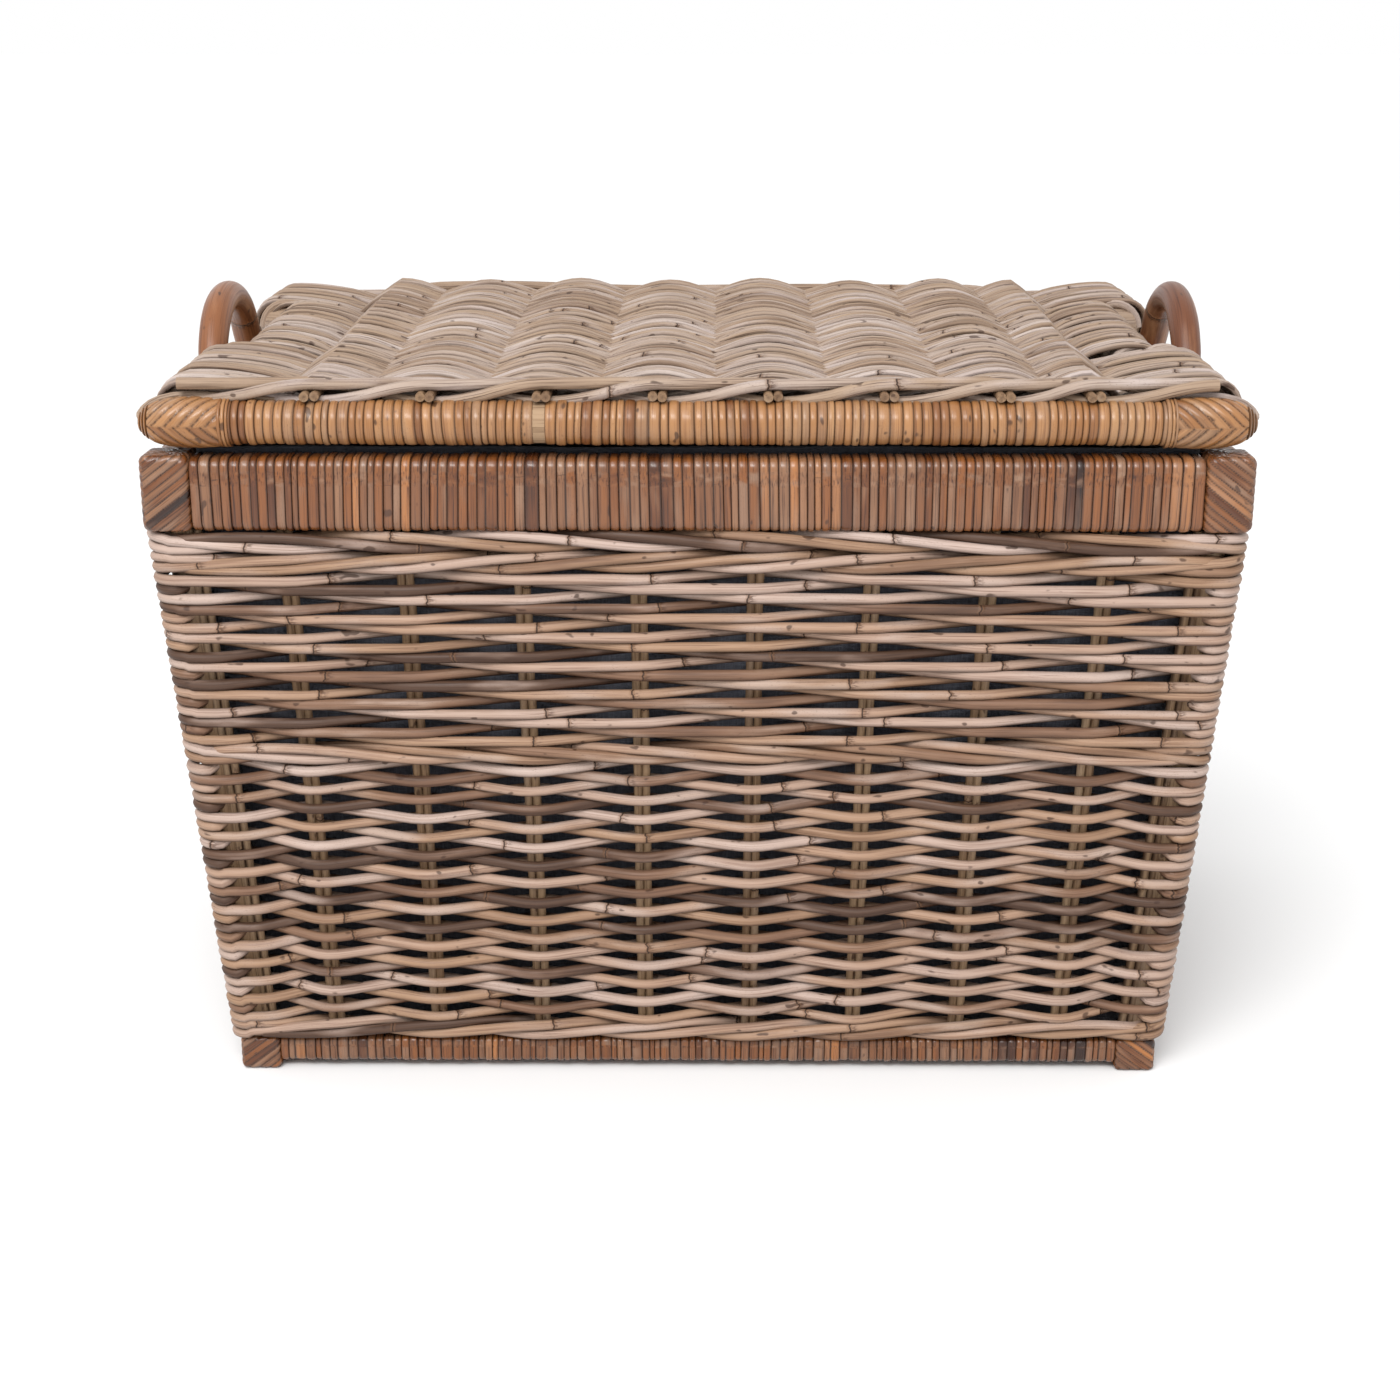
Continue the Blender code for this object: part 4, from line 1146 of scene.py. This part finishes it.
def make_lid_rails():
    """The lid's front and back rails: wrapping, a collar and a cap at each end, and the bare patch."""
    for side in ("front", "back"):
        node = f"lid_rail_{side}"
        skin, rng = Skin(), rng_for(node)
        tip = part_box(node)[1].x
        centre = centre_of(node)
        start = tip - CAP_LENGTH
        turn = np.linspace(0, 2 * math.pi, 30, endpoint=False)
        normals = np.column_stack([np.cos(turn), np.sin(turn)])
        section = (normals * (RAIL_RADIUS + 0.3 * MM), normals)
        runs = RAIL_RUNS[side]
        for left, right in zip(runs[::2], runs[1::2]):
            wrapped_rail(skin, (left * start, centre[1], centre[2]), (right * start, centre[1], centre[2]),
                         (0, 1, 0), (0, 0, 1), section, RAIL_PITCH, rng, tilt=0.05)
        for side_x in (-1, 1):
            ends = sorted((side_x * (start - 4.0 * MM), side_x * (start + 3.0 * MM)))
            wrapped_rail(skin, (ends[0], centre[1], centre[2]), (ends[1], centre[1], centre[2]), (0, 1, 0),
                         (0, 0, 1), (normals * (RAIL_RADIUS + 1.6 * MM), normals), 2.6 * MM, rng, tilt=0.02)
        for side_x in (-1, 1):
            braided_cap(skin, tip, side_x, centre[1], centre[2], rng)
        skin.build(f"{node}_wrap", LOOKS["rail"], "peel", "lid", [node])
        if len(runs) > 2:
            core = Skin()
            x = np.linspace(runs[1] * start - 0.01, runs[2] * start + 0.01, 8)
            path = np.column_stack([x, np.full(8, centre[1]), np.full(8, centre[2])])
            core.tube(path, RAIL_RADIUS - 1.0 * MM, 1.0, 24)
            core.build(f"{node}_core", LOOKS["core"], "core", "lid")


# ---------------------------------------------------------------- hinge


def make_hinge():
    """The cane rod, held to the rim by two straps and to the lid by two more."""
    skin = Skin()
    low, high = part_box("hinge_rod")
    centre, half = centre_of("hinge_rod"), half_of("hinge_rod")
    x = np.linspace(low.x, high.x, 60)
    path = np.column_stack([x, np.full(60, centre[1]), np.full(60, centre[2])])
    skin.tube(path, half[2] * 0.98, 0.5, 16)
    skin.build("hinge_rod_cane", LOOKS["cane"], "cane", "basket", ["hinge_rod"])
    for side in ("left", "right"):
        for body, part, turn in (("basket", "rim", 1), ("lid", "lid", -1)):
            make_strap(f"hinge_strap_{part}_{side}", body, turn, centre, half[2])


def make_strap(node, body, turn, rod, rod_radius):
    """A strap of three strips that hooks round the hinge rod."""
    low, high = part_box(node)
    inner = rod_radius + 0.3 * MM
    middle = (inner + STRAP_OUTER) / 2
    end_z = low.z if turn > 0 else high.z
    straight = np.linspace(end_z, rod[2], 8, endpoint=False)
    angles = np.radians(np.linspace(180, 180 - turn * STRAP_TURN, 30))
    y = np.concatenate([np.full(8, rod[1] - middle), rod[1] + middle * np.cos(angles)])
    z = np.concatenate([straight, rod[2] + middle * np.sin(angles)])
    rng = rng_for(node)
    skin = Skin()
    width = (high.x - low.x) / 3
    for strip in range(3):
        x = low.x + (strip + 0.5) * width
        path = np.column_stack([np.full(len(y), x), y, z])
        travel = unit(np.gradient(path, axis=0))
        up = np.cross(travel, np.array((1.0, 0, 0)))
        skin.tube(path, width * 0.49, rng.random(), 12, flat=(STRAP_OUTER - inner) / width, up=up)
    skin.build(f"{node}_strips", LOOKS["peel"], "peel", body, [node])


# ---------------------------------------------------------------- liner


def make_liner():
    """A cotton bag that hangs inside the basket in soft folds, with a narrow lip at its top."""
    rng = rng_for("liner")
    low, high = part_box("liner")
    floor_z = low.z + 0.7 * MM
    top_z = high.z - 0.5 * MM
    turn = np.linspace(0, 2 * math.pi, LINER_POINTS, endpoint=False)
    waves = [(int(rng.integers(9, 40)), rng.uniform(0, 6.3), rng.uniform(0.3, 1.0)) for _ in range(9)]
    folds = sum(a * np.sin(k * turn + p) for k, p, a in waves)
    folds /= np.abs(folds).max()
    slack = [(int(rng.integers(5, 24)), rng.uniform(0, 6.3), rng.uniform(9, 30)) for _ in range(6)]
    outline = liner_outline(turn)
    grid, grains = [], []

    def ring(half, z, fold, corner=LINER_CORNER, spread=1.0):
        """One level of the bag. fold is the depth of its folds, which die out towards the corners."""
        flat = outline(half, corner)
        drift = sum(np.sin(k * turn + p + w * z) for k, p, w in slack) / 4
        from_corner = half[0] + half[1] - np.abs(flat).sum(1)
        slackness = 0.12 + 0.88 * smoothstep(from_corner / 0.09)
        inward = unit(flat) * (slackness * fold * LINER_FOLD * (folds + drift - 1.5))[:, None]
        flat = (flat + inward) * spread
        lifted = z + fold * 1.5 * MM * (np.cos(7 * turn + 1.0) + 0.6 * np.cos(17 * turn) - 1.6)
        level = np.full(LINER_POINTS, z)
        grid.append(np.column_stack([flat[:, 0], flat[:, 1] + MID_Y, lifted]))
        grains.append(np.column_stack([turn * 0.33, level, level]))

    lip = [half + LINER_LIP for half in LINER_TOP]
    ring(lip, top_z - 0.4 * MM, 0.3, LINER_CORNER + LINER_LIP)
    ring(LINER_TOP, top_z, 0.3)
    first_z = top_z - 4 * MM
    for share in np.linspace(0, 1, LINER_LEVELS):
        z = first_z - (first_z - LINER_FOOT_Z) * share
        blend = np.clip((z - LINER_FOOT_Z) / (LINER_HIGH_Z - LINER_FOOT_Z), 0, 1)
        half = [foot + (top - foot) * blend for top, foot in zip(LINER_TOP, LINER_FOOT)]
        ring(half, z, 0.3 + 0.7 * math.sin(math.pi * share) ** 0.7)
    ring(LINER_FLOOR, floor_z + 2.0 * MM, 0.2)
    for spread in (0.93, 0.8, 0.65, 0.5, 0.35, 0.2, 0.08):
        ring(LINER_FLOOR, floor_z + 1.0 * MM * (1 + math.sin(9 * spread)), 0.1, spread=spread)
    skin = Skin()
    grid, grains = np.array(grid), np.array(grains)
    skin.rings(grid[::-1], np.full(len(grid), 0.5), grains[::-1], caps=False)
    centre = skin.add(grid[-1].mean(0)[None], 0.5, grains[-1].mean(0)[None], 0.0)
    skin.faces.extend([[centre, i, (i + 1) % LINER_POINTS][::-1] for i in range(LINER_POINTS)])
    obj = skin.build("liner_bag", LOOKS["cotton"], "cotton", "basket", ["liner"])
    solid = obj.modifiers.new("Cloth", "SOLIDIFY")
    solid.thickness = LINER_CLOTH
    solid.offset = 0.0


def liner_outline(turn):
    """A function that gives the points of a rounded rectangle, spread evenly along its length."""

    def outline(half, corner):
        points, _ = rounded_section(half[0], half[1], corner, 10, 12)
        points = np.concatenate([points, points[:1]])
        length = arc_lengths(points)
        wanted = turn / (2 * math.pi) * length[-1]
        return np.column_stack([np.interp(wanted, length, points[:, k]) for k in range(2)])

    return outline


# ---------------------------------------------------------------- studio


def make_camera():
    data = bpy.data.cameras.new("camera")
    data.sensor_width = 36.0
    data.lens = CAMERA_LENS
    data.clip_end = 50
    camera = bpy.data.objects.new("camera", data)
    camera.location = CAMERA_PLACE
    camera.rotation_euler = (math.radians(90 - CAMERA_DOWN), 0.0, math.radians(CAMERA_YAW))
    bpy.context.scene.collection.objects.link(camera)
    bpy.context.scene.camera = camera


def add_area(name, place, target, size, power):
    data = bpy.data.lights.new(name, "AREA")
    data.shape = "RECTANGLE"
    data.size, data.size_y = size
    data.energy = power
    light = bpy.data.objects.new(name, data)
    light.location = place
    light.rotation_euler = (Vector(target) - Vector(place)).to_track_quat("-Z", "Y").to_euler()
    bpy.context.scene.collection.objects.link(light)


def make_studio():
    """A pale floor in a white world, a soft key light from the front and a broad sun."""
    mesh = bpy.data.meshes.new("floor")
    reach = 30.0
    corners = [(x * reach, y * reach, 0) for x, y in ((-1, -1), (1, -1), (1, 1), (-1, 1))]
    mesh.from_pydata(corners, [], [(0, 1, 2, 3)])
    n = Nodes("floor_paper")
    mesh.materials.append(n.finish(srgb(232, 232, 232), 0.9))
    floor = bpy.data.objects.new("floor", mesh)
    bpy.context.scene.collection.objects.link(floor)
    world = bpy.data.worlds.new("studio")
    world.use_nodes = True
    world.node_tree.nodes["Background"].inputs[0].default_value = (1, 1, 1, 1)
    world.node_tree.nodes["Background"].inputs[1].default_value = 1.0
    bpy.context.scene.world = world
    add_area("key", (-0.5, -2.3, 2.3), (0, 0, 0.3), (1.8, 0.9), 55)
    data = bpy.data.lights.new("sun", "SUN")
    data.energy = 1.0
    data.angle = math.radians(40)
    sun = bpy.data.objects.new("sun", data)
    sun.rotation_euler = (math.radians(28), math.radians(-18), 0)
    bpy.context.scene.collection.objects.link(sun)
    bpy.context.scene.view_settings.view_transform = "Standard"


make_camera()
make_studio()
make_walls()
make_stakes()
make_wrapped_frame("rim", "rim_corner", **RIM)
make_wrapped_frame("base_rail", "base_foot", **BASE)
make_bottom()
make_handles()
make_lid_panel()
make_lid_edges()
make_lid_poles()
make_cap_strands()
make_lid_bars()
make_lid_rails()
make_hinge()
make_liner()
